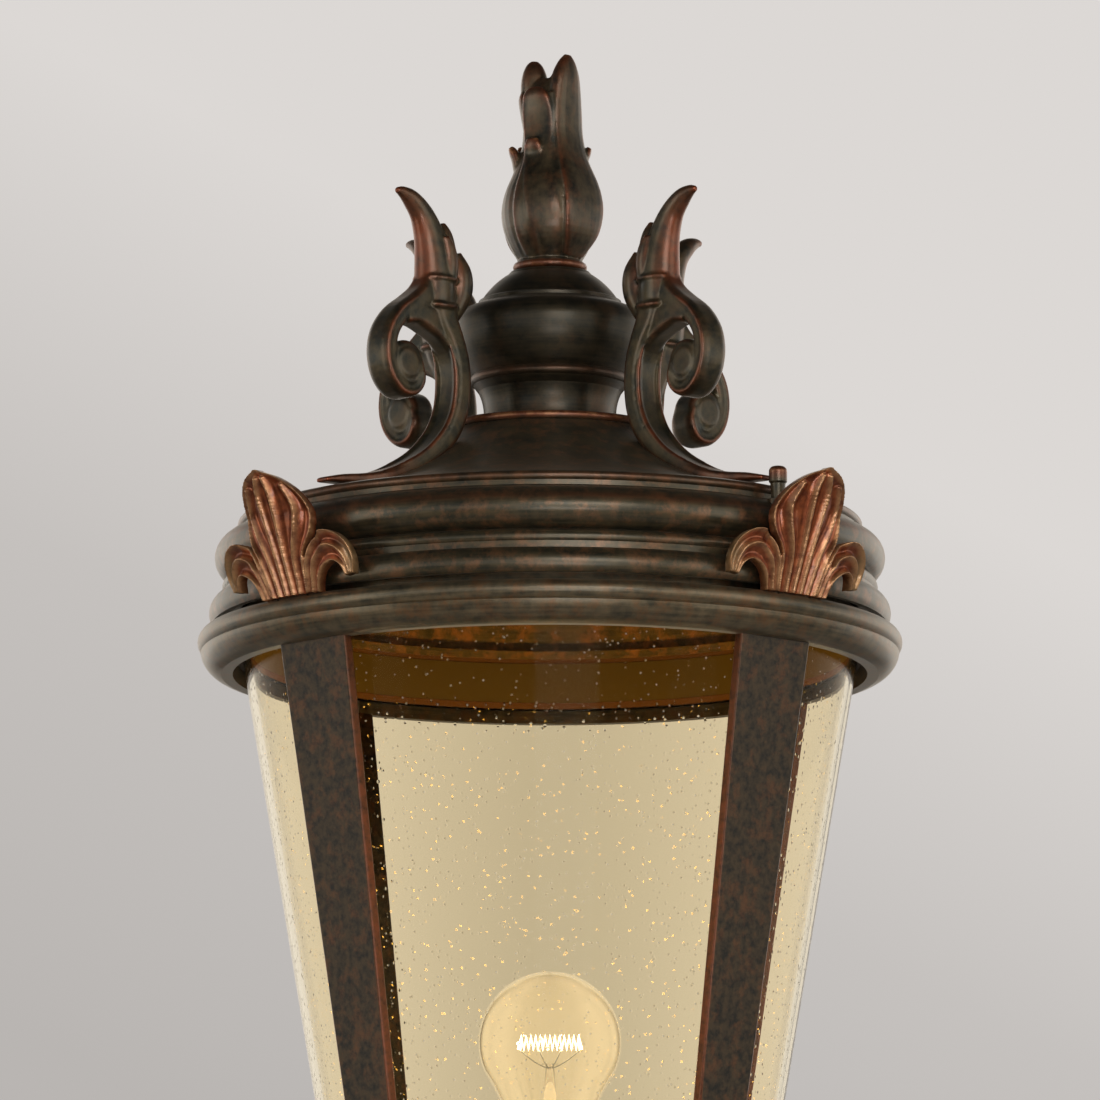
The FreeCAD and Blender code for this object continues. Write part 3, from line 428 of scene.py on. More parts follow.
@dataclass(frozen=True)
class SeededGlass:
    """Pale amber seeded glass, blown thin.

    It gives the eye a warm tint with small trapped air bubbles. Its IOR is kept low, so that a soft box isn't
    mirrored as a stripe down the straight cone.
    """

    name: str = "amber_seeded_glass"
    tint: str = "#f7efdc"
    seed_mm: float = 4.0
    seed_radius_mm: float = 0.8
    seed_height_mm: float = 0.4
    seed_clearness: float = 0.6
    ior: float = 1.09

    def build(self) -> Material:
        """Builds the finish.

        Returns:
            The material.
        """
        material, tree = new_material(self.name)
        place = add_node(tree, "TexCoord").outputs["Object"]
        seeds = add_node(
            tree, "TexVoronoi", {"Vector": place, "Scale": scale_of(self.seed_mm), "Randomness": 1.0}
        ).outputs["Distance"]
        dome = {"Value": seeds, "From Max": self.seed_radius_mm / self.seed_mm, "To Min": 1.0, "To Max": 0.0}
        bubble = add_node(tree, "MapRange", dome).outputs["Result"]
        relief = {"Strength": 0.3, "Distance": self.seed_height_mm * MM, "Height": bubble}
        heart = {"From Min": 0.2, "From Max": 0.7, "To Min": 1.0, "To Max": self.seed_clearness}
        clear = add_node(tree, "MapRange", {"Value": bubble, **heart})
        shader = add_node(
            tree,
            "BsdfPrincipled",
            {
                "Base Color": linear(self.tint),
                "Roughness": 0.02,
                "IOR": self.ior,
                "Transmission Weight": clear.outputs["Result"],
                "Normal": add_node(tree, "Bump", relief).outputs["Normal"],
            },
        )
        add_node(tree, "OutputMaterial", {"Surface": shader.outputs["BSDF"]})
        return material


@dataclass(frozen=True)
class PlainFinish:
    """One even finish, set by a few numbers on the shader."""

    name: str
    colour: str
    roughness: float
    metallic: float = 0.0
    ior: float = 1.5
    transmission: float = 0.0
    glow: str = "#000000"
    glow_strength: float = 0.0
    grain_mm: float = 0.0
    grain_depth: float = 0.08

    def build(self) -> Material:
        """Builds the finish.

        Returns:
            The material.
        """
        material, tree = new_material(self.name)
        values: Inputs = {
            "Base Color": linear(self.colour),
            "Roughness": self.roughness,
            "Metallic": self.metallic,
            "IOR": self.ior,
            "Transmission Weight": self.transmission,
            "Emission Color": linear(self.glow),
            "Emission Strength": self.glow_strength,
        }
        if self.grain_mm:
            place = add_node(tree, "TexCoord").outputs["Object"]
            cloud = {"Vector": place, "Scale": scale_of(self.grain_mm), "Detail": 4.0}
            grain = add_node(tree, "TexNoise", cloud)
            smooth, dull = self.roughness - self.grain_depth, self.roughness + self.grain_depth
            span = {"From Min": 0.3, "From Max": 0.7, "To Min": smooth, "To Max": dull}
            rough = add_node(tree, "MapRange", {"Value": grain.outputs["Fac"], **span})
            values["Roughness"] = rough.outputs["Result"]
        shader = add_node(tree, "BsdfPrincipled", values)
        add_node(tree, "OutputMaterial", {"Surface": shader.outputs["BSDF"]})
        return material


def deselect_all() -> None:
    """Clears the selection in object mode."""
    for item in bpy.context.selected_objects:
        item.select_set(False)
    bpy.context.view_layer.objects.active = None


def make_active(piece: Piece) -> None:
    """Selects one piece alone and makes it active."""
    deselect_all()
    bpy.context.view_layer.objects.active = piece
    piece.select_set(True)


def between(values: np.ndarray, start: float, full: float) -> np.ndarray:
    """Rises evenly from 0 where the values reach start to 1 where they reach full."""
    return np.clip((values - start) / (full - start), 0.0, 1.0)


def smooth_path(points: Sequence[Point], steps: int) -> list[Point]:
    """Runs a smooth curve through points with any number of values each.

    Args:
        points: Points to pass through.
        steps: Stretches between neighbouring points.

    Returns:
        The points of the curve, both ends included.
    """
    rows = [np.array(p, float) for p in points]
    rows = [2 * rows[0] - rows[1], *rows, 2 * rows[-1] - rows[-2]]
    curve = []
    for a, b, c, d in zip(rows, rows[1:], rows[2:], rows[3:]):
        for k in range(steps):
            t = k / steps
            square = (2 * a - 5 * b + 4 * c - d) * t * t
            cube = (3 * b - 3 * c + d - a) * t**3
            curve.append(0.5 * (2 * b + (c - a) * t + square + cube))
    curve.append(rows[-2])
    return [tuple(float(v) for v in row) for row in curve]


def headings(path: Sequence[Point]) -> list[float]:
    """Gives the direction of a path in the XZ plane at each of its points, in radians."""
    ends = zip([path[0], *path[:-1]], [*path[1:], path[-1]])
    return [math.atan2(after[1] - before[1], after[0] - before[0]) for before, after in ends]


def sweep(name: str, stations: Sequence[Point], corner: float = 0.6, rounding: int = 4) -> Piece:
    """Draws a rounded bar along a path in the XZ plane, as extrude, rotate and scale by hand.

    Args:
        name: Name of the piece.
        stations: Rows of x, z, half thickness in the plane and half width across it, in millimetres.
        corner: Share of the half section that is rounded.
        rounding: Segments of each rounded corner.

    Returns:
        The new closed bar, in object mode.
    """
    deselect_all()
    bpy.ops.mesh.primitive_plane_add(size=2.0)
    bar = bpy.context.object
    bar.name = name
    bpy.ops.object.mode_set(mode="EDIT")
    bpy.ops.mesh.select_all(action="SELECT")
    bpy.ops.mesh.bevel(offset=corner, offset_type="OFFSET", segments=rounding, affect="VERTICES")
    bpy.ops.mesh.select_all(action="SELECT")
    ways = headings(stations)
    x, z, thick, wide = stations[0]
    here = Vector((x, 0.0, z)) * MM
    bpy.ops.transform.resize(value=(thick * MM, wide * MM, 1.0), center_override=(0, 0, 0))
    bpy.ops.transform.rotate(value=ways[0] - math.pi / 2, orient_axis="Y", center_override=(0, 0, 0))
    bpy.ops.transform.translate(value=here)
    for (x, z, new_thick, new_wide), last, way in zip(stations[1:], ways, ways[1:]):
        there = Vector((x, 0.0, z)) * MM
        turn = (way - last + math.pi) % (2 * math.pi) - math.pi
        bpy.ops.mesh.extrude_region_move(TRANSFORM_OT_translate={"value": there - here})
        bpy.ops.transform.rotate(value=turn, orient_axis="Y", center_override=there)
        grow = new_thick / thick
        bpy.ops.transform.resize(value=(grow, new_wide / wide, grow), center_override=there)
        here, thick, wide = there, new_thick, new_wide
    bpy.ops.mesh.select_all(action="SELECT")
    bpy.ops.mesh.normals_make_consistent(inside=False)
    bpy.ops.object.mode_set(mode="OBJECT")
    return bar


def disc(name: str, centre: Point, radius: float, half_width: float, edge: float) -> Piece:
    """Makes a round disc that lies across the XZ plane, with bevelled rims.

    Args:
        name: Name of the piece.
        centre: Centre in millimetres.
        radius: Radius in millimetres.
        half_width: Half its width along Y in millimetres.
        edge: Size of the bevel in millimetres.

    Returns:
        The new disc, with its place in its mesh.
    """
    deselect_all()
    bpy.ops.mesh.primitive_cylinder_add(vertices=48, radius=radius * MM, depth=2 * half_width * MM)
    plate = bpy.context.object
    plate.name = name
    bpy.ops.object.mode_set(mode="EDIT")
    bpy.ops.mesh.select_all(action="SELECT")
    bpy.ops.transform.rotate(value=math.pi / 2, orient_axis="X", center_override=(0, 0, 0))
    bpy.ops.transform.translate(value=Vector(centre) * MM)
    bpy.ops.object.mode_set(mode="OBJECT")
    apply_modifier(plate, "BEVEL", width=edge * MM, segments=3, limit_method="ANGLE")
    return plate


def shifted(piece: Piece, offset: Point = (0, 0, 0), azimuth: float = 0.0) -> Piece:
    """Moves a piece's mesh and then turns it about the vertical axis.

    Args:
        piece: Piece to move.
        offset: Move in millimetres.
        azimuth: Turn in degrees.

    Returns:
        The same piece.
    """
    turn = Matrix.Rotation(math.radians(azimuth), 4, "Z")
    piece.data.transform(turn @ Matrix.Translation(Vector(offset) * MM))
    return piece


def read_vectors(piece: Piece, name: str) -> np.ndarray:
    """Reads the places or normals of a piece's vertices.

    Args:
        piece: Piece to read.
        name: Either co or normal.

    Returns:
        One row per vertex, in the mesh's own units.
    """
    rows = np.empty(len(piece.data.vertices) * 3)
    piece.data.vertices.foreach_get(name, rows)
    return rows.reshape(-1, 3)


def write_attribute(piece: Piece, name: str, values: np.ndarray) -> None:
    """Stores one number per vertex, over what was there.

    Args:
        piece: Piece that takes the attribute.
        name: Name of the attribute.
        values: One value per vertex, which is kept from 0 to 1.
    """
    attributes = piece.data.attributes
    layer = attributes.get(name) or attributes.new(name, "FLOAT", "POINT")
    layer.data.foreach_set("value", np.clip(values, 0.0, 1.0).astype(np.float32))


def apply_modifier(piece: Piece, kind: str, **settings: object) -> None:
    """Adds a modifier and applies it.

    Args:
        piece: Piece that takes the modifier.
        kind: Blender's name for the modifier type.
        settings: Properties to set on it.
    """
    make_active(piece)
    modifier = piece.modifiers.new(kind.lower(), kind)
    for key, value in settings.items():
        setattr(modifier, key, value)
    bpy.ops.object.modifier_apply(modifier=modifier.name)


def join_pieces(name: str, pieces: Sequence[Piece]) -> Piece:
    """Joins pieces to one object.

    Args:
        name: Name of the whole.
        pieces: Pieces to join.

    Returns:
        The whole.
    """
    deselect_all()
    for piece in pieces:
        piece.select_set(True)
    bpy.context.view_layer.objects.active = pieces[0]
    bpy.ops.object.join()
    whole = bpy.context.object
    whole.name = name
    return whole


def cast_together(name: str, pieces: Sequence[Piece], voxel_mm: float, rounds: int) -> Piece:
    """Joins lumps and bars to one casting with soft inner corners.

    Args:
        name: Name of the casting.
        pieces: Closed pieces that overlap.
        voxel_mm: Grid size of the remesh in millimetres.
        rounds: Rounds of smoothing.

    Returns:
        The casting.
    """
    casting = join_pieces(name, pieces)
    apply_modifier(casting, "REMESH", mode="VOXEL", voxel_size=voxel_mm * MM)
    apply_modifier(casting, "SMOOTH", factor=0.5, iterations=rounds)
    casting.data.shade_smooth()
    return casting


def mark_rub(piece: Piece, reach: int, full_mm: float, bias_mm: float) -> np.ndarray:
    """Stores how far each vertex stands proud of its surroundings as the rub attribute.

    Args:
        piece: Piece to mark.
        reach: Rounds of averaging, which set how wide the surroundings are.
        full_mm: Height over the bias, in millimetres, at which the patina is fully worn.
        bias_mm: Height below which nothing is worn.

    Returns:
        The rub of each vertex.
    """
    place, normal = read_vectors(piece, "co"), read_vectors(piece, "normal")
    edges = np.empty(len(piece.data.edges) * 2, np.int32)
    piece.data.edges.foreach_get("vertices", edges)
    edges = edges.reshape(-1, 2)
    degree = np.bincount(edges.ravel(), minlength=len(place))[:, None]
    soft = place.copy()
    for _ in range(reach):
        total = np.zeros_like(soft)
        np.add.at(total, edges[:, 0], soft[edges[:, 1]])
        np.add.at(total, edges[:, 1], soft[edges[:, 0]])
        soft = total / degree
    proud = ((place - soft) * normal).sum(1) / MM
    rub = np.clip((proud - bias_mm) / full_mm, 0.0, 1.0)
    write_attribute(piece, "rub", rub)
    return rub


def stand_for(piece: Piece, node: str, body: Body) -> None:
    """Puts a piece in the place of a CAD node.

    Args:
        piece: Finished piece.
        node: CAD node that it stands for.
        body: Body that it rides on.
    """
    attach(piece, body.value)
    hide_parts(node)
    LOG.info("%s stands for %s", piece.name, node)


def copy_round(piece: Piece, stem: str, finish: Material, body: Body) -> None:
    """Places a copy of a piece on each diagonal, each with its own mesh, and removes the pattern.

    Args:
        piece: Piece modelled on the X axis.
        stem: Name of the CAD nodes that the copies stand for, without their numbers.
        finish: Finish of the copies.
        body: Body that they ride on.
    """
    for number, azimuth in enumerate(DIAGONALS, 1):
        node = f"{stem}_{number}"
        copy = bpy.data.objects.new(f"{node}_cast", piece.data.copy())
        bpy.context.scene.collection.objects.link(copy)
        shifted(copy, azimuth=azimuth)
        copy.data.materials.append(finish)
        stand_for(copy, node, body)
    mesh = piece.data
    bpy.data.objects.remove(piece)
    bpy.data.meshes.remove(mesh)


@dataclass
class ScrollBrackets:
    """Four cast scrolls on the dome: a bow with a rimmed channel, a volute and a stepped plume.

    Paths are rows of radius, height over the ring's crest, half thickness and half width, in millimetres.
    """

    bow_half: float = 7.0
    volute_half: float = 6.4
    volute_taper: tuple[float, ...] = (0.45, 0.75, 0.95)
    rim: float = 1.25
    bow_rim: tuple[int, int] = (9, 40)
    volute_rim: int = 9
    roll_centre: Point = (87.2, 0.0, 109.6)
    rolls: tuple[Point, ...] = ((9.6, -0.3), (7.2, 0.5))
    roll_edge: float = 2.2
    collar_radius: float = 66.3
    collar_levels: tuple[float, ...] = (136.2, 147.8)
    collar_size: tuple[float, float] = (9.8, 8.4)
    leaflet_side: float = 6.2
    plume_blush: float = 0.45
    plume_blush_levels: tuple[float, float] = (132.0, 148.0)
    foot_blush: float = 0.3
    foot_blush_radii: tuple[float, float] = (80.0, 100.0)
    foot_blush_levels: tuple[float, float] = (75.0, 67.0)
    voxel_mm: float = 0.6

    def bow_path(self) -> list[Point]:
        """Gives the bow from its foot on the roof's edge to the plume's base."""
        half = self.bow_half
        rows = [
            (131.0, 55.2, 1.0, 3.4), (121.0, 56.6, 1.9, 4.6), (110.0, 57.6, 2.5, 5.4),
            (100.0, 59.5, 2.9, half), (91.0, 62.4, 2.9, half), (82.5, 66.2, 3.0, half),
            (74.0, 71.1, 3.4, half), (66.5, 77.0, 4.1, half), (60.6, 84.0, 4.4, half),
            (56.8, 92.6, 4.5, half), (55.4, 101.2, 4.5, half), (55.4, 109.0, 4.5, half),
            (56.8, 116.2, 4.6, half), (60.0, 123.8, 5.0, half), (64.0, 131.2, 5.8, half),
            (66.0, 138.2, 6.6, half),
        ]
        return smooth_path(rows, 3)

    def volute_path(self) -> list[Point]:
        """Gives the volute from the horn's outer side down and round into its roll."""
        rows = [
            (67.5, 154.7, 5.0), (70.0, 147.7, 5.2), (74.2, 141.1, 4.8), (81.0, 136.1, 4.3),
            (89.2, 130.6, 4.0), (95.2, 122.5, 3.9), (96.8, 113.1, 3.9), (94.4, 104.4, 3.8),
            (88.6, 98.8, 3.6), (82.4, 99.4, 3.3), (79.4, 104.4, 3.0), (80.6, 110.4, 2.6),
        ]
        taper = dict(enumerate(self.volute_taper))
        return smooth_path([(*row, taper.get(i, 1.0) * self.volute_half) for i, row in enumerate(rows)], 4)

    def ridges(self, line: Sequence[Point], across: float, name: str) -> list[Piece]:
        """Runs a thin raised ridge along both faces of a bar, which dies out at its ends.

        Args:
            line: Points of radius and height in millimetres.
            across: Distance of each ridge from the bracket's middle plane.
            name: Name for the ridges.

        Returns:
            The two ridges.
        """
        rows = []
        for i, (x, z) in enumerate(line):
            size = self.rim * min(1.0, 0.25 + 0.15 * min(i, len(line) - 1 - i))
            rows.append((x, z, size, size))
        pair = []
        for side in (-1.0, 1.0):
            ridge = sweep(name, rows, corner=0.9, rounding=3)
            pair.append(shifted(ridge, (0.0, side * across, 0.0)))
        return pair

    def beside(self, path: Sequence[Point], side: float, inset: float) -> list[Point]:
        """Gives the line along one side of a bar.

        Args:
            path: Stations of the bar.
            side: 1 for the left of the path's heading, -1 for its right.
            inset: How far inside the bar's face the line lies, in millimetres.

        Returns:
            Points of radius and height.
        """
        line = []
        for (x, z, thick, _), way in zip(path, headings(path)):
            out = way + side * math.pi / 2
            line.append((x + (thick - inset) * math.cos(out), z + (thick - inset) * math.sin(out)))
        return line

    def plume(self) -> list[Piece]:
        """Makes the plume: the keeled horn, two stepped lobes behind it, side leaflets and two collars."""
        horn = [
            (65.4, 127.7, 7.0, 6.2), (66.2, 136.2, 9.2, 7.4), (66.8, 145.2, 9.4, 7.8),
            (67.8, 155.7, 8.4, 7.2), (69.5, 164.0, 7.2, 6.2), (71.6, 170.0, 6.3, 5.5),
            (75.2, 176.0, 5.0, 4.7), (80.7, 181.0, 3.8, 3.9), (85.5, 183.2, 2.4, 2.4),
            (89.0, 183.6, 1.1, 1.1),
        ]
        upper = [
            (62.0, 144.7, 4.0, 5.0), (61.0, 156.7, 4.8, 5.4), (62.0, 166.7, 3.9, 4.4), (63.6, 172.4, 1.8, 2.2)
        ]
        lower = [
            (58.4, 132.7, 3.8, 5.0), (53.6, 142.7, 5.6, 6.2), (53.2, 152.0, 5.4, 6.0), (55.6, 160.4, 2.6, 3.2)
        ]
        leaf = [
            (62.6, 149.0, 2.8, 1.6), (62.8, 155.0, 3.4, 2.2), (63.8, 161.0, 2.8, 1.8), (65.8, 166.0, 1.2, 0.8)
        ]
        made = [sweep("horn", smooth_path(horn, 4), corner=0.98, rounding=8)]
        made += [sweep("lobe", smooth_path(path, 4), corner=0.95, rounding=6) for path in (upper, lower)]
        for side in (-1.0, 1.0):
            leaflet = sweep("leaflet", smooth_path(leaf, 4), corner=0.98, rounding=6)
            made.append(shifted(leaflet, (0.0, side * self.leaflet_side, 0.0)))
        thick, wide = self.collar_size
        for level in self.collar_levels:
            rings = ((-1.2, 0.92), (-0.4, 1.0), (0.4, 1.0), (1.2, 0.92))
            collar = [(self.collar_radius, level + up, share * thick, share * wide) for up, share in rings]
            made.append(sweep("collar", collar, corner=0.85, rounding=5))
        return made

    def build(self) -> Piece:
        """Casts one scroll on the X axis.

        Returns:
            The casting.
        """
        bow, volute = self.bow_path(), self.volute_path()
        pieces = [sweep("bow", bow, corner=0.5), sweep("volute", volute, corner=0.5)]
        edge = self.beside(bow[slice(*self.bow_rim)], -1.0, 0.1 * self.rim)
        pieces += self.ridges(edge, self.bow_half - 1.1 * self.rim, "bow_ridge")
        edge = self.beside(volute[self.volute_rim :], 1.0, 1.6 * self.rim)
        pieces += self.ridges(edge, self.volute_half - 0.5 * self.rim, "volute_ridge")
        for radius, stand in self.rolls:
            pieces.append(disc("roll", self.roll_centre, radius, self.volute_half + stand, self.roll_edge))
        web = [
            (87.0, 129.5, 3.2, 6.3), (80.0, 131.5, 4.6, 6.3), (72.0, 130.0, 5.6, 6.2),
            (65.0, 125.5, 4.6, 5.8), (60.5, 119.5, 3.0, 5.2),
        ]
        pieces.append(sweep("web", smooth_path(web, 4), corner=0.5))
        pieces += self.plume()
        casting = cast_together("scroll", pieces, self.voxel_mm, rounds=5)
        shifted(casting, (0.0, 0.0, CREST_LEVEL / MM))
        self.redden(casting, mark_rub(casting, reach=14, full_mm=0.95, bias_mm=0.14))
        return casting

    def redden(self, casting: Piece, rub: np.ndarray) -> None:
        """Adds the red-brown blush on the outer faces of the plume and of the bow's foot.

        Args:
            casting: Casting on the X axis.
            rub: Rub of each vertex so far.
        """
        place, normal = read_vectors(casting, "co") / MM, read_vectors(casting, "normal")
        level = place[:, 2] - CREST_LEVEL / MM
        outward = np.clip((normal[:, 0] - 0.1) * 1.3, 0.0, 1.0)
        plume = between(level, *self.plume_blush_levels) * outward
        foot = between(place[:, 0], *self.foot_blush_radii) * between(level, *self.foot_blush_levels)
        blush = np.maximum(self.plume_blush * plume, self.foot_blush * foot)
        write_attribute(casting, "rub", np.maximum(rub, blush))

    def dress(self, finish: Material) -> None:
        """Builds and places all the scrolls in cast bronze."""
        copy_round(self.build(), "scroll", finish, Body.ROOF)


@dataclass
class PalmetteLeaves:
    """Four palmettes on the ring: a pointed fluted lobe between two curled side lobes.

    Sizes are in millimetres, and the lobe's spans are shares of the half width or the height.
    """

    half_width: float = 36.5
    height: float = 50.5
    foot_radius: float = 144.5
    foot_rise: float = 4.3
    lean: float = 20.0
    plate: float = 2.2
    ridge: float = 3.2
    ridge_foot: float = 3.4
    ridge_rub_and_highlight_reach: float = 1.5
    gilt: float = 0.8
    belly: float = 1.4
    wing: float = 1.5
    shell: float = 6.0
    lobe_half: float = 0.475
    shell_rise: tuple[float, float] = (0.25, 0.65)
    shell_side: tuple[float, float] = (0.62, 0.52)
    flute_stations: int = 24
    voxel_mm: float = 0.42

    def edges(self) -> list[list[Point]]:
        """Gives the ridges of the right half, from the middle out, as shares of half width and height."""
        return [
            [(0.055, 0.0), (0.06, 0.3), (0.08, 0.6), (0.085, 0.8), (0.05, 0.93)],
            [(0.165, 0.0), (0.20, 0.3), (0.29, 0.54), (0.315, 0.70), (0.25, 0.86)],
            [(0.28, 0.0), (0.33, 0.29), (0.45, 0.47), (0.475, 0.64), (0.40, 0.80), (0.23, 0.925), (0.0, 1.0)],
            [(0.30, 0.0), (0.37, 0.25), (0.48, 0.395), (0.64, 0.465)]
            + [(0.80, 0.445), (0.93, 0.365), (0.985, 0.235), (0.955, 0.1)],
            [(0.37, 0.0), (0.43, 0.19), (0.54, 0.315), (0.68, 0.355)]
            + [(0.81, 0.315), (0.88, 0.225), (0.905, 0.12)],
            [(0.45, 0.0), (0.50, 0.125), (0.60, 0.20), (0.72, 0.228), (0.82, 0.185), (0.87, 0.09)],
        ]

    def flute(self, left: Sequence[Point], right: Sequence[Point]) -> Piece:
        """Fills the strip between two ridges.

        Args:
            left: Points of one ridge as shares.
            right: Points of the other.

        Returns:
            A flat bar of the flute's width.
        """
        sides = []
        for line in (left, right):
            curve = np.array(smooth_path(line, 5))
            at = np.linspace(0, len(curve) - 1, self.flute_stations)
            columns = [np.interp(at, range(len(curve)), column) for column in curve.T]
            sides.append(np.stack(columns, 1) * (self.half_width, self.height))
        rows = []
        for a, b in zip(*sides):
            x, z = (a + b) / 2
            half = max(np.linalg.norm(a - b) / 2, 0.6) + 0.35
            rows.append((float(x), float(z), float(half), self.plate / 2))
        return sweep("flute", rows, corner=0.3, rounding=2)

    def from_ridge(self, casting: Piece) -> np.ndarray:
        """Measures how far each vertex of the flat leaf lies from the nearest ridge, in millimetres."""
        across, _, up = (read_vectors(casting, "co") / MM).T
        nearest = np.full(len(across), np.inf)
        for line in self.edges():
            for u, v in smooth_path(line, 16):
                for sign in (-1.0, 1.0):
                    apart = np.hypot(across - sign * u * self.half_width, up - v * self.height)
                    nearest = np.minimum(nearest, apart)
        return nearest

    def build(self) -> Piece:
        """Casts one palmette flat, raises sharp ridges with hollow flanks, then bends it round the ring.

        Returns:
            The casting, on the X axis.
        """
        lines = self.edges()
        lobe = []
        for u, v in smooth_path(lines[2], 5):
            lobe.append((0.0, v * self.height, max(u * self.half_width, 0.7), self.plate / 2))
        pieces = [sweep("lobe", lobe, corner=0.02, rounding=1)]
        for sign in (-1.0, 1.0):
            outer, middle, inner = ([(sign * u, v) for u, v in line] for line in lines[3:])
            pieces += [self.flute(outer, middle), self.flute(middle, inner)]
        for piece in pieces:
            shifted(piece, (0.0, self.plate / 2, 0.0))
        casting = cast_together("leaf", pieces, self.voxel_mm, rounds=2)
        away = self.from_ridge(casting)
        across, proud, up = (read_vectors(casting, "co") / MM).T
        front = between(proud / self.plate, 0.3, 0.8)
        raised = proud + front * self.ridge * np.clip(1.0 - away / self.ridge_foot, 0.0, 1.0) ** 2
        casting.data.vertices.foreach_set("co", (np.stack([across, raised, up], 1) * MM).ravel())
        # The rub attribute on the ridges is partly wear, partly a painted highlight.
        write_attribute(casting, "rub", front * np.clip(1.1 - away / self.ridge_rub_and_highlight_reach, 0.0, 1.0))
        write_attribute(casting, "gilt", self.gilt * between(np.abs(across) / self.half_width, 0.78, 0.92))
        self.bend(casting)
        return casting

    def bend(self, leaf: Piece) -> None:
        """Bends a flat leaf round the ring and leans it out.

        Args:
            leaf: Leaf with its width on X, its thickness on Y and its height on Z.
        """
        across, proud, up = (read_vectors(leaf, "co") / MM).T
        side = np.clip(np.abs(across) / self.half_width, 0, 1)
        share = up / self.height
        belly = self.belly * np.sin(np.clip(share, 0, 1) * math.pi) * (1 - side**2)
        wing = self.wing * side**2 * np.clip(share * 2, 0, 1)
        lobe = between(share, *self.shell_rise) * between(side, *self.shell_side)
        hollow = self.shell * lobe * (side / self.lobe_half) ** 2
        lean = self.lean * share * (0.7 + 0.3 * share)
        radius = self.foot_radius + lean + proud + (belly + wing) - hollow
        angle = across / self.foot_radius
        base = (CREST_LEVEL + self.foot_rise * MM) / MM
        moved = np.stack([radius * np.cos(angle), radius * np.sin(angle), base + up], 1) * MM
        leaf.data.vertices.foreach_set("co", moved.ravel())
        make_active(leaf)
        bpy.ops.object.mode_set(mode="EDIT")
        bpy.ops.mesh.select_all(action="SELECT")
        bpy.ops.mesh.normals_make_consistent(inside=False)
        bpy.ops.object.mode_set(mode="OBJECT")

    def dress(self, finish: Material) -> None:
        """Builds and places all the leaves in red copper patina."""
        copy_round(self.build(), "leaf", finish, Body.POST)


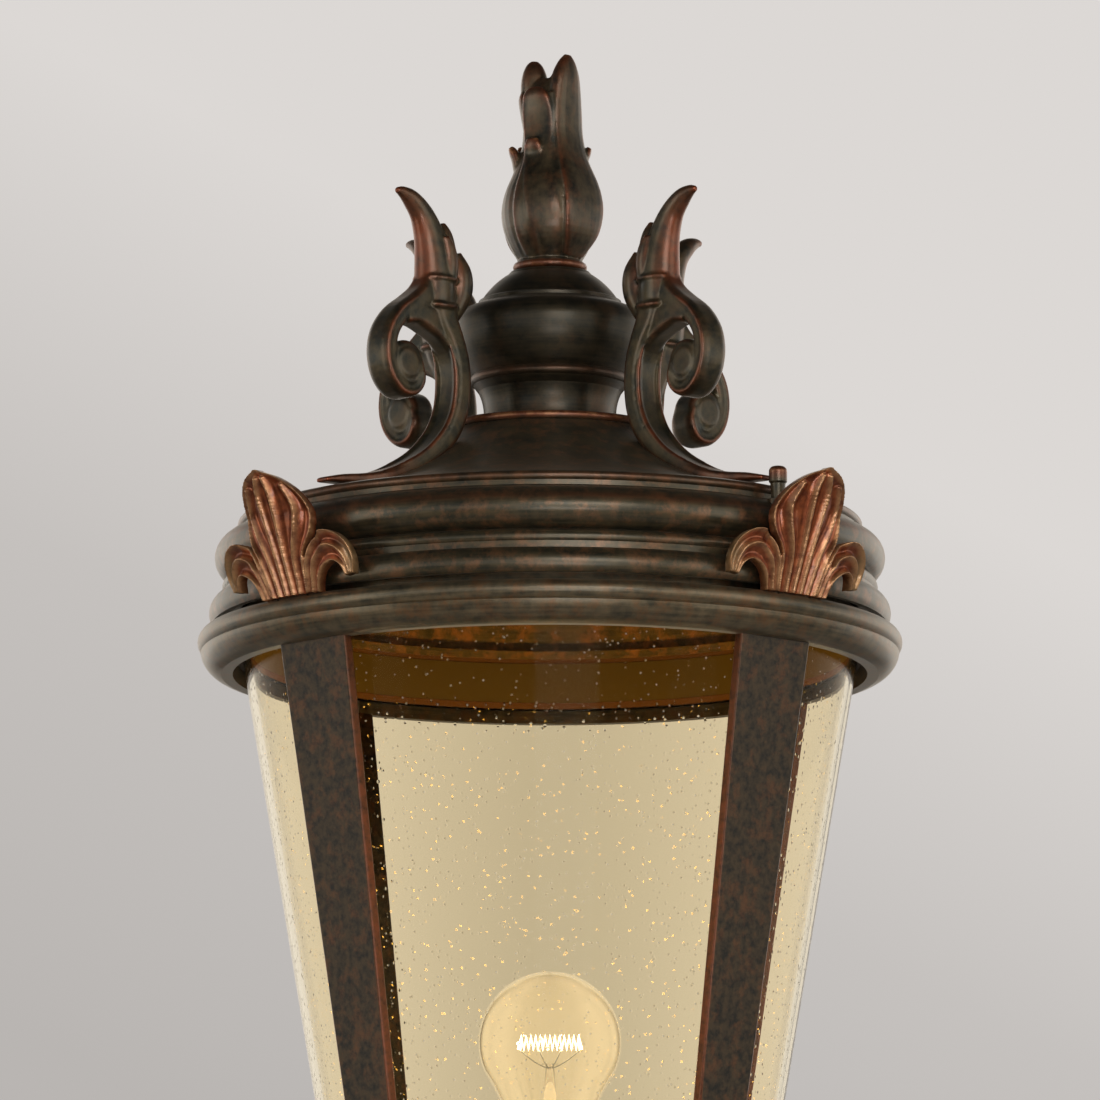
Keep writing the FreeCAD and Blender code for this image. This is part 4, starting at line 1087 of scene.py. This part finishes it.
@dataclass
class BudFinial:
    """Cast bud finial: smooth closed petals with curled sepal tips and two unequal points.

    Petals are rows of radius, height over the finial's foot, half thickness and half width, in millimetres.
    """

    collar_radius: float = 15.8
    voxel_mm: float = 0.5

    def core(self) -> list[Piece]:
        """Makes the bud's round body and the collar under it, from rows of height and radius."""
        bud = [
            (1.0, 12.6), (5.0, 13.6), (10.0, 16.4), (18.0, 19.6), (26.0, 20.6), (34.0, 19.2), (42.0, 15.9),
            (50.0, 12.9), (57.0, 11.6), (66.0, 11.2), (74.0, 10.8), (79.0, 9.6), (83.0, 6.6),
        ]
        collar = [(0.2, 14.4), (1.0, 15.4), (2.2, self.collar_radius), (3.4, 15.4), (4.2, 14.2)]
        return [
            sweep("bud", smooth_path([(0.0, z, r, r) for z, r in bud], 3), corner=0.98, rounding=8),
            sweep("collar", [(0.0, z, r, r) for z, r in collar], corner=0.98, rounding=10),
        ]

    def petal(self, rows: Sequence[Point], foot: float, tip: float) -> Piece:
        """Makes one petal or sepal that lies against the bud.

        Args:
            rows: Stations of the petal.
            foot: Azimuth of its foot in degrees.
            tip: Azimuth of its tip in degrees.

        Returns:
            The petal.
        """
        piece = sweep("petal", smooth_path(rows, 4), corner=0.85, rounding=4)
        x, y, z = read_vectors(piece, "co").T
        share = between(z, z.min(), z.max())
        angle = np.radians(foot + (tip - foot) * share)
        cos, sin = np.cos(angle), np.sin(angle)
        turned = np.stack([x * cos - y * sin, x * sin + y * cos, z], 1)
        piece.data.vertices.foreach_set("co", turned.ravel())
        return piece

    def petals(self) -> list[Piece]:
        """Makes all the petals, each kind at the azimuths of its feet and tips."""
        sepal = [
            (13.2, 6.0, 1.4, 4.0), (18.0, 14.0, 1.8, 5.6), (19.9, 22.0, 1.6, 6.2), (19.7, 29.0, 1.6, 6.2),
            (18.0, 36.0, 1.6, 5.8), (14.9, 44.0, 1.7, 5.0), (13.4, 49.0, 2.0, 4.8), (14.3, 53.0, 2.0, 4.0),
            (14.9, 55.8, 1.2, 2.4),
        ]
        rolled = [
            (13.2, 7.0, 1.6, 5.0), (18.0, 15.0, 1.8, 7.0), (19.9, 23.0, 1.6, 7.6), (19.5, 30.0, 1.7, 7.6),
            (17.6, 37.0, 1.8, 7.2), (14.0, 46.0, 1.8, 6.8), (11.8, 56.0, 1.7, 6.8), (11.2, 66.0, 1.6, 7.2),
            (11.3, 71.0, 1.8, 6.8), (11.6, 74.4, 2.0, 6.2), (11.3, 76.8, 1.8, 4.8), (10.6, 78.2, 1.2, 2.8),
        ]
        inner = [
            (14.2, 8.0, 1.3, 3.2), (19.4, 18.0, 1.6, 3.6), (20.2, 26.0, 1.5, 3.6), (19.1, 34.0, 1.6, 3.6),
            (16.0, 42.0, 1.7, 3.4), (13.2, 50.0, 1.8, 3.2), (12.1, 58.0, 1.7, 3.0), (11.7, 68.0, 1.7, 3.0),
            (11.0, 76.0, 1.5, 2.8),
        ]
        shoulder = [
            (6.0, 66.0, 4.2, 5.6), (6.6, 75.0, 4.4, 5.4), (7.0, 81.0, 3.6, 4.2), (7.8, 85.6, 1.9, 2.4)
        ]
        ear = [(13.4, 43.0, 2.0, 4.2), (14.2, 48.4, 2.1, 4.0), (15.6, 52.0, 1.9, 3.2), (16.8, 54.0, 1.1, 1.8)]
        broad = [
            (13.2, 6.0, 1.8, 6.0), (18.2, 15.0, 2.0, 10.0), (20.0, 24.0, 1.8, 11.4), (19.4, 31.0, 1.9, 11.4),
            (17.2, 38.0, 2.2, 10.8), (12.8, 48.0, 2.6, 9.2), (10.2, 58.0, 3.0, 8.8), (9.2, 68.0, 3.6, 8.8),
            (8.7, 77.0, 4.2, 8.2), (8.9, 84.0, 4.1, 6.9), (9.5, 89.6, 2.8, 4.4), (9.9, 93.0, 1.1, 1.6),
        ]
        prong = [
            (4.6, 58.0, 4.8, 5.0), (5.8, 70.0, 5.8, 5.4), (6.4, 79.0, 6.0, 5.6), (6.6, 85.0, 5.2, 5.0),
            (6.6, 89.2, 3.5, 3.4), (6.5, 91.2, 1.5, 1.5),
        ]
        knob = [(9.6, 62.0, 1.8, 4.4), (10.6, 70.0, 2.2, 4.8), (11.3, 74.6, 2.0, 4.2), (10.8, 78.0, 1.2, 2.8)]
        kinds = (
            (sepal, ((241.0, 241.0), (45.0, 45.0), (95.0, 95.0), (143.0, 143.0))),
            (rolled, ((272.0, 238.0),)),
            (inner, ((284.0, 278.0),)),
            (shoulder, ((290.0, 302.0),)),
            (ear, ((4.0, 4.0), (184.0, 184.0))),
            (broad, ((318.0, 320.0),)),
            (prong, ((182.0, 182.0),)),
            (knob, ((2.0, 2.0), (186.0, 186.0), (60.0, 60.0), (118.0, 118.0))),
        )
        return [self.petal(rows, foot, tip) for rows, places in kinds for foot, tip in places]

    def dress(self, finish: Material) -> None:
        """Casts the finial, marks its rub and places it.

        Args:
            finish: Cast bronze.
        """
        casting = cast_together("finial_cast", self.core() + self.petals(), self.voxel_mm, rounds=3)
        shifted(casting, (0.0, 0.0, FINIAL_LEVEL / MM))
        mark_rub(casting, reach=16, full_mm=0.5, bias_mm=0.04)
        casting.data.materials.append(finish)
        stand_for(casting, "finial", Body.ROOF)


@dataclass
class CadDressing:
    """Gives each CAD node the finish of its real material."""

    finishes: dict[Slot, Material]
    wear_and_painted_light: dict[str, Material]

    def dress(self) -> None:
        """Puts the finishes on the nodes: a node's own bronze, with its wear and its painted light and shade,
        or else its slot's finish.
        """
        for row in frame["record"]["subparts"]:
            name = row["node"]
            finish = self.wear_and_painted_light.get(name, self.finishes[Slot(row["material_slot"])])
            node = frame["nodes"][name]
            node.data.materials.clear()
            node.data.materials.append(finish)
            LOG.info("%s dressed as %s", name, finish.name)


@dataclass
class LitLamp:
    """Clear globe lamp: a glowing zigzag wire on a glass stem, and the warm light it throws into the roof.

    Sizes are in millimetres, and the stem's rows are drop below the wire and radius.
    """

    globe_radius: float = 30.0
    stem_radius: float = 4.6
    stem_rows: tuple[Point, ...] = ((26.0, 2.8), (9.0, 1.8))
    support_drops: tuple[float, float] = (11.0, 8.0)
    support_radius: float = 0.25
    supports: tuple[float, ...] = (-1.0, -0.36, 0.36, 1.0)
    span: float = 13.0
    rise: float = 2.8
    folds: int = 26
    wire: float = 0.85
    power: float = 5.4
    colour: str = "#ffc04c"
    light_radius: float = 12.0
    light_rise: float = 20.0

    def build(self, glass: Material, glow: Material, steel: Material) -> Piece:
        """Makes the stem, its four supports and the zigzag wire.

        Args:
            glass: Clear glass of the stem.
            glow: Glowing wire.
            steel: Bare wire of the supports.

        Returns:
            The joined piece.
        """
        middle = node_level("bulb_glass") / MM - self.globe_radius
        foot = node_level("bulb_stem", top=False) / MM
        rows = [(0.0, foot, self.stem_radius, self.stem_radius)]
        rows += [(0.0, middle - drop, radius, radius) for drop, radius in self.stem_rows]
        parts = [("stem", rows, glass)]
        root, bow = self.support_drops
        for reach in self.supports:
            end = reach * self.span
            arm = [(0.3 * reach, middle - root), (0.5 * end, middle - bow), (end, middle - self.rise)]
            rows = [(x, z, self.support_radius, self.support_radius) for x, z in smooth_path(arm, 3)]
            parts.append(("support", rows, steel))
        zigzag = []
        for fold in range(self.folds + 1):
            across = self.span * (2.0 * fold / self.folds - 1.0)
            zigzag.append((across, middle + (self.rise if fold % 2 else -self.rise), self.wire, self.wire))
        parts.append(("wire", zigzag, glow))
        pieces = []
        for name, stations, finish in parts:
            pieces.append(sweep(name, stations, corner=0.9))
            pieces[-1].data.materials.append(finish)
        joined = join_pieces("filament_stem", pieces)
        joined.data.shade_smooth()
        return joined

    def dress(self, finishes: dict[Slot, Material]) -> None:
        """Sets the wire in the bulb and lights the lantern.

        Args:
            finishes: Finish of each material slot.
        """
        piece = self.build(finishes[Slot.CLEAR_GLASS], finishes[Slot.FILAMENT], finishes[Slot.STEEL])
        stand_for(piece, "bulb_stem", Body.POST)
        data = bpy.data.lights.new("lamp_glow", "POINT")
        data.energy = self.power
        data.color = linear(self.colour)[:3]
        data.shadow_soft_size = self.light_radius * MM
        light = bpy.data.objects.new("lamp_glow", data)
        bpy.context.scene.collection.objects.link(light)
        light.location = (0.0, 0.0, node_level("bulb_glass") + self.light_rise * MM)
        light.visible_camera = False
        light.visible_glossy = False
        light.visible_transmission = False


@dataclass(frozen=True)
class SoftBox:
    """One rectangular soft box: its place and size in metres, its power in watts and its colour."""

    name: str
    place: Point
    size: tuple[float, float]
    power: float
    colour: str

    def hang(self, aim: Point) -> None:
        """Hangs the box so that it faces a point and doesn't show through the glass.

        Args:
            aim: Point that it faces, in metres.
        """
        data = bpy.data.lights.new(self.name, "AREA")
        data.shape = "RECTANGLE"
        data.size, data.size_y = self.size
        data.energy = self.power
        data.color = linear(self.colour)[:3]
        light = bpy.data.objects.new(self.name, data)
        bpy.context.scene.collection.objects.link(light)
        light.location = self.place
        light.visible_transmission = False
        light.rotation_mode = "QUATERNION"
        light.rotation_quaternion = (Vector(aim) - Vector(self.place)).to_track_quat("-Z", "Y")


@dataclass
class Studio:
    """Plain studio: the camera, a pale backdrop and floor, and soft boxes. Sizes are in metres."""

    aim: Point = (0.0, 0.0, 2.0906)
    distance: float = 6.0
    elevation: float = -9.5
    azimuth: float = 1.5
    lens: float = 465.4
    sensor: float = 36.0
    floor_size: float = 30.0
    floor_colour: str = "#c9c5c1"
    floor_glow: float = 0.62
    # The backdrop is graded paler to the upper right: painted light on it.
    backdrop: tuple[tuple[float, str], ...] = ((0.0, "#b9b5b2"), (0.5, "#c5c1be"), (1.0, "#dcd8d5"))
    backdrop_slope: float = 0.5
    backdrop_span: tuple[float, float] = (0.113, 0.1825)
    room_low: tuple[Point, ...] = ((0.0, 0.4), (0.25, 0.6), (0.47, 0.62))
    room_high: tuple[Point, ...] = ((0.56, 0.38), (0.68, 0.12), (0.85, 0.02))
    # The backdrop seen through the glass: painted shade in the middle, painted light to the sides.
    room_back: str = "#efe5d8"
    through_middle_painted_shade: str = "#cfcabf"
    through_side_painted_light: str = "#e6e1d7"
    through_span: tuple[float, float] = (0.002, 0.02)
    boxes: tuple[SoftBox, ...] = (
        SoftBox("left_box", (-2.6, -1.2, 2.0), (1.1, 2.2), 9.0, "#fff0d8"),
        SoftBox("right_box", (2.5, -1.3, 2.2), (1.5, 2.4), 9.5, "#fff0d8"),
        SoftBox("front_box", (1.0, -4.2, 3.0), (2.2, 1.0), 30.0, "#fff4e6"),
        SoftBox("low_box", (0.5, -3.6, 1.2), (1.6, 0.5), 12.0, "#fff8f0"),
        SoftBox("left_rim_box", (-2.1, 2.2, 2.1), (2.6, 2.4), 8.0, "#fffaf4"),
        SoftBox("right_rim_box", (2.1, 2.2, 2.1), (2.6, 2.4), 8.0, "#fffaf4"),
    )

    def camera(self) -> None:
        """Places the camera as in the photograph."""
        data = bpy.data.cameras.new("camera")
        data.lens = self.lens
        data.sensor_width = self.sensor
        view = bpy.data.objects.new("camera", data)
        bpy.context.scene.collection.objects.link(view)
        rise, round_post = math.radians(self.elevation), math.radians(self.azimuth)
        level = math.cos(rise)
        back = Vector((level * math.sin(round_post), -level * math.cos(round_post), math.sin(rise)))
        view.location = Vector(self.aim) + back * self.distance
        view.rotation_mode = "QUATERNION"
        view.rotation_quaternion = (-back).to_track_quat("-Z", "Y")
        bpy.context.scene.camera = view

    def world(self) -> None:
        """Sets the backdrop colour, graded paler to the upper right as painted light, its colour through the
        glass, painted darker in the middle and paler to the sides as painted shade and light, and the room
        that the metal mirrors.
        """
        world = bpy.data.worlds.new("studio_room")
        bpy.context.scene.world = world
        world.use_nodes = True
        tree = world.node_tree
        tree.nodes.clear()
        heading = add_node(tree, "TexCoord").outputs["Generated"]
        turn = math.radians(self.azimuth)
        right = Vector((math.cos(turn), math.sin(turn), 0.0))
        rise = self.backdrop_slope * right + Vector((0.0, 0.0, 1.0))
        slope = add_node(tree, "VectorMath", {0: heading, 1: rise}, operation="DOT_PRODUCT").outputs["Value"]
        low, high = self.backdrop_span
        seen_share = add_node(tree, "MapRange", {"Value": slope, "From Min": low, "From Max": high})
        shades = [(position, linear(colour)) for position, colour in self.backdrop]
        seen = add_node(tree, "ValToRGB", {"Fac": seen_share.outputs["Result"]}, shades).outputs["Color"]

        side = add_node(tree, "VectorMath", {0: heading, 1: right}, operation="DOT_PRODUCT").outputs["Value"]
        aside = add_node(tree, "Math", {0: side}, operation="ABSOLUTE").outputs["Value"]
        low, high = self.through_span
        edge = add_node(tree, "MapRange", {"Value": aside, "From Min": low, "From Max": high})
        ends = {MIX_UNDER: linear(self.through_middle_painted_shade), MIX_OVER: linear(self.through_side_painted_light)}
        values = {MIX_SHARE: edge.outputs["Result"], **ends}
        through = add_node(tree, "Mix", values, data_type="RGBA").outputs[MIXED]

        height = add_node(tree, "SeparateXYZ", {0: heading}).outputs["Z"]
        room_share = add_node(tree, "MapRange", {"Value": height, "From Min": -1.0})
        greys = [(position, grey(value)) for position, value in self.room_low + self.room_high]
        room = add_node(tree, "ValToRGB", {"Fac": room_share.outputs["Result"]}, greys).outputs["Color"]
        back = add_node(tree, "VectorMath", {0: heading, 1: (0.0, 1.0, -0.9)}, operation="DOT_PRODUCT")
        behind = add_node(tree, "MapRange", {"Value": back.outputs["Value"], "From Max": 0.7})
        values = {MIX_SHARE: behind.outputs["Result"], MIX_UNDER: room, MIX_OVER: linear(self.room_back)}
        around = add_node(tree, "Mix", values, data_type="RGBA").outputs[MIXED]

        path = add_node(tree, "LightPath").outputs
        rays = {0: path["Is Camera Ray"], 1: path["Is Transmission Ray"]}
        shown = add_node(tree, "Math", rays, operation="MAXIMUM").outputs["Value"]
        values = {MIX_SHARE: path["Is Transmission Ray"], MIX_UNDER: seen, MIX_OVER: through}
        backdrop = add_node(tree, "Mix", values, data_type="RGBA").outputs[MIXED]
        values = {MIX_SHARE: shown, MIX_UNDER: around, MIX_OVER: backdrop}
        colour = add_node(tree, "Mix", values, data_type="RGBA").outputs[MIXED]
        shade = add_node(tree, "Background", {"Color": colour, "Strength": 1.0})
        add_node(tree, "OutputWorld", {"Surface": shade.outputs["Background"]})

    def floor(self) -> None:
        """Lays the plain pale floor, which stays pale to the camera and keeps the post's shadow."""
        deselect_all()
        bpy.ops.mesh.primitive_plane_add(size=self.floor_size)
        floor = bpy.context.object
        floor.name = "floor"
        material, tree = new_material("pale_floor")
        path = add_node(tree, "LightPath").outputs
        rays = {0: path["Is Camera Ray"], 1: path["Is Transmission Ray"]}
        seen = add_node(tree, "Math", rays, operation="MAXIMUM").outputs["Value"]
        glow = add_node(tree, "Math", {0: seen, 1: self.floor_glow}, operation="MULTIPLY").outputs["Value"]
        paint = linear(self.floor_colour)
        skin = {"Base Color": paint, "Roughness": 0.8, "Emission Color": paint, "Emission Strength": glow}
        shader = add_node(tree, "BsdfPrincipled", skin)
        add_node(tree, "OutputMaterial", {"Surface": shader.outputs["BSDF"]})
        floor.data.materials.append(material)

    def build(self) -> None:
        """Sets the whole studio."""
        bpy.context.scene.view_settings.view_transform = "Standard"
        self.camera()
        self.world()
        self.floor()
        for box in self.boxes:
            box.hang(self.aim)


def slot_finishes() -> dict[Slot, Material]:
    """Builds the finish of each material slot.

    Returns:
        Finishes by slot.
    """
    # Blown glass, barely there but for a faint warm haze, round a white-hot wire.
    bulb = PlainFinish(
        "clear_bulb_glass", "#fffaf0", 0.0, ior=1.25, transmission=1.0, glow="#ffedc6", glow_strength=0.05
    )
    wire = PlainFinish("glowing_wire", "#fff2dc", 0.4, glow="#fff0d0", glow_strength=9.0)
    # Fired glaze gives a crisp highlight on cream, and moulded nylon a dull one.
    porcelain = PlainFinish("glazed_porcelain", "#e8e4da", 0.12)
    nylon = PlainFinish("moulded_nylon", "#dcd9cf", 0.5)
    # Turned brass and zinc plate are softly clouded, and silicone has almost no shine.
    brass = PlainFinish("satin_brass", "#c9a35c", 0.3, metallic=1.0, grain_mm=3.0)
    steel = PlainFinish("zinc_plated_steel", "#b4b4b2", 0.32, metallic=1.0, grain_mm=2.0)
    silicone = PlainFinish("dark_brown_silicone", "#2c1e0e", 0.6, grain_mm=4.0)
    finishes = {
        Slot.BRONZE: BronzePatina("dark_bronze_patina"),
        Slot.COPPER_LEAF: LeafPatina(),
        Slot.AMBER_GLASS: SeededGlass(),
        Slot.CLEAR_GLASS: bulb,
        Slot.FILAMENT: wire,
        Slot.PORCELAIN: porcelain,
        Slot.BRASS: brass,
        Slot.STEEL: steel,
        Slot.SILICONE: silicone,
        Slot.TERMINAL: nylon,
    }
    return {slot: finish.build() for slot, finish in finishes.items()}


def wear_and_painted_light_bronzes() -> dict[str, Material]:
    """Builds the bronzes whose wear and painted light follow the shape of a CAD node, with painted shade on
    the crown and painted light on the upper ring.

    Returns:
        Finishes by the nodes' names.
    """
    # Copper at the crests of the roof's and crown's mouldings: partly wear, partly a painted highlight.
    rub_and_highlight_levels = ((40.5, 2.4, 0.3), (50.5, 2.2, 0.3), (91.2, 2.4, 1.0), (113.2, 2.0, 0.2))
    lathe = {"streak": 0.45, "wear": Wear.LEVELS, "rub_and_highlight_levels": rub_and_highlight_levels}
    speckle = {"rust_mm": 7.0, "rust_span": (0.48, 0.64)}
    roof = BronzePatina("rubbed_bronze_patina", rust="#8a6444", rust_share=0.9, **speckle, **lathe)
    # A darker copy of the bronze for the crown: painted shade.
    crown = BronzePatina("crown_painted_shade_bronze_patina", dark="#2a2b23", brown="#4a4231", coat=0.3, **lathe)
    # A lighter copy of the bronze for the upper ring: painted light.
    ring_painted_light_tones = {"dark": "#4c4b3d", "brown": "#8a7b60", "rust": "#96683f"}
    # The ring's inner face gets painted warm lamp light.
    ring = BronzePatina("ring_painted_light_bronze_patina", lamp_glow_bore_mm=128.0, **ring_painted_light_tones, **speckle, **lathe)
    strap = BronzePatina(
        "strap_bronze_patina",
        dark="#211e16",
        brown="#54452f",
        rust="#80522f",
        copper="#b8623c",
        mottle_mm=3.2,
        rust_mm=8.0,
        rust_share=0.85,
        coat=0.35,
        wear=Wear.STRAP_EDGES,
    ).build()
    knob = BronzePatina("knob_bronze_patina", wear=Wear.LEVELS, rub_and_highlight_levels=((57.0, 4.0, 0.8),)).build()
    wear_and_painted_light = {"roof": roof.build(), "crown": crown.build(), "upper_ring": ring.build()}
    wear_and_painted_light.update({f"upright_{number}": strap for number in range(1, len(DIAGONALS) + 1)})
    wear_and_painted_light.update({f"thumbscrew_{place}": knob for place in ("front", "rear")})
    return wear_and_painted_light


def main() -> None:
    """Builds and dresses the lamp post in order."""
    logging.basicConfig(level=logging.INFO, format="%(name)s: %(message)s")
    deselect_all()
    finishes = slot_finishes()
    CadDressing(finishes, wear_and_painted_light_bronzes()).dress()
    scroll = BronzePatina("scroll_bronze_patina", blush="#9a4a24", copper="#cb7a46")
    ScrollBrackets().dress(scroll.build())
    PalmetteLeaves().dress(finishes[Slot.COPPER_LEAF])
    bud = BronzePatina(
        "streaked_bronze_patina",
        dark="#23251c",
        brown="#685a42",
        rust="#80583a",
        copper="#c08a5a",
        mottle_mm=4.0,
        rust_mm=9.0,
        rust_share=0.8,
        streak=0.5,
        streak_scale=(260.0, 260.0, 30.0),
    )
    BudFinial().dress(bud.build())
    LitLamp().dress(finishes)
    Studio().build()


if __name__ == "__main__":
    main()
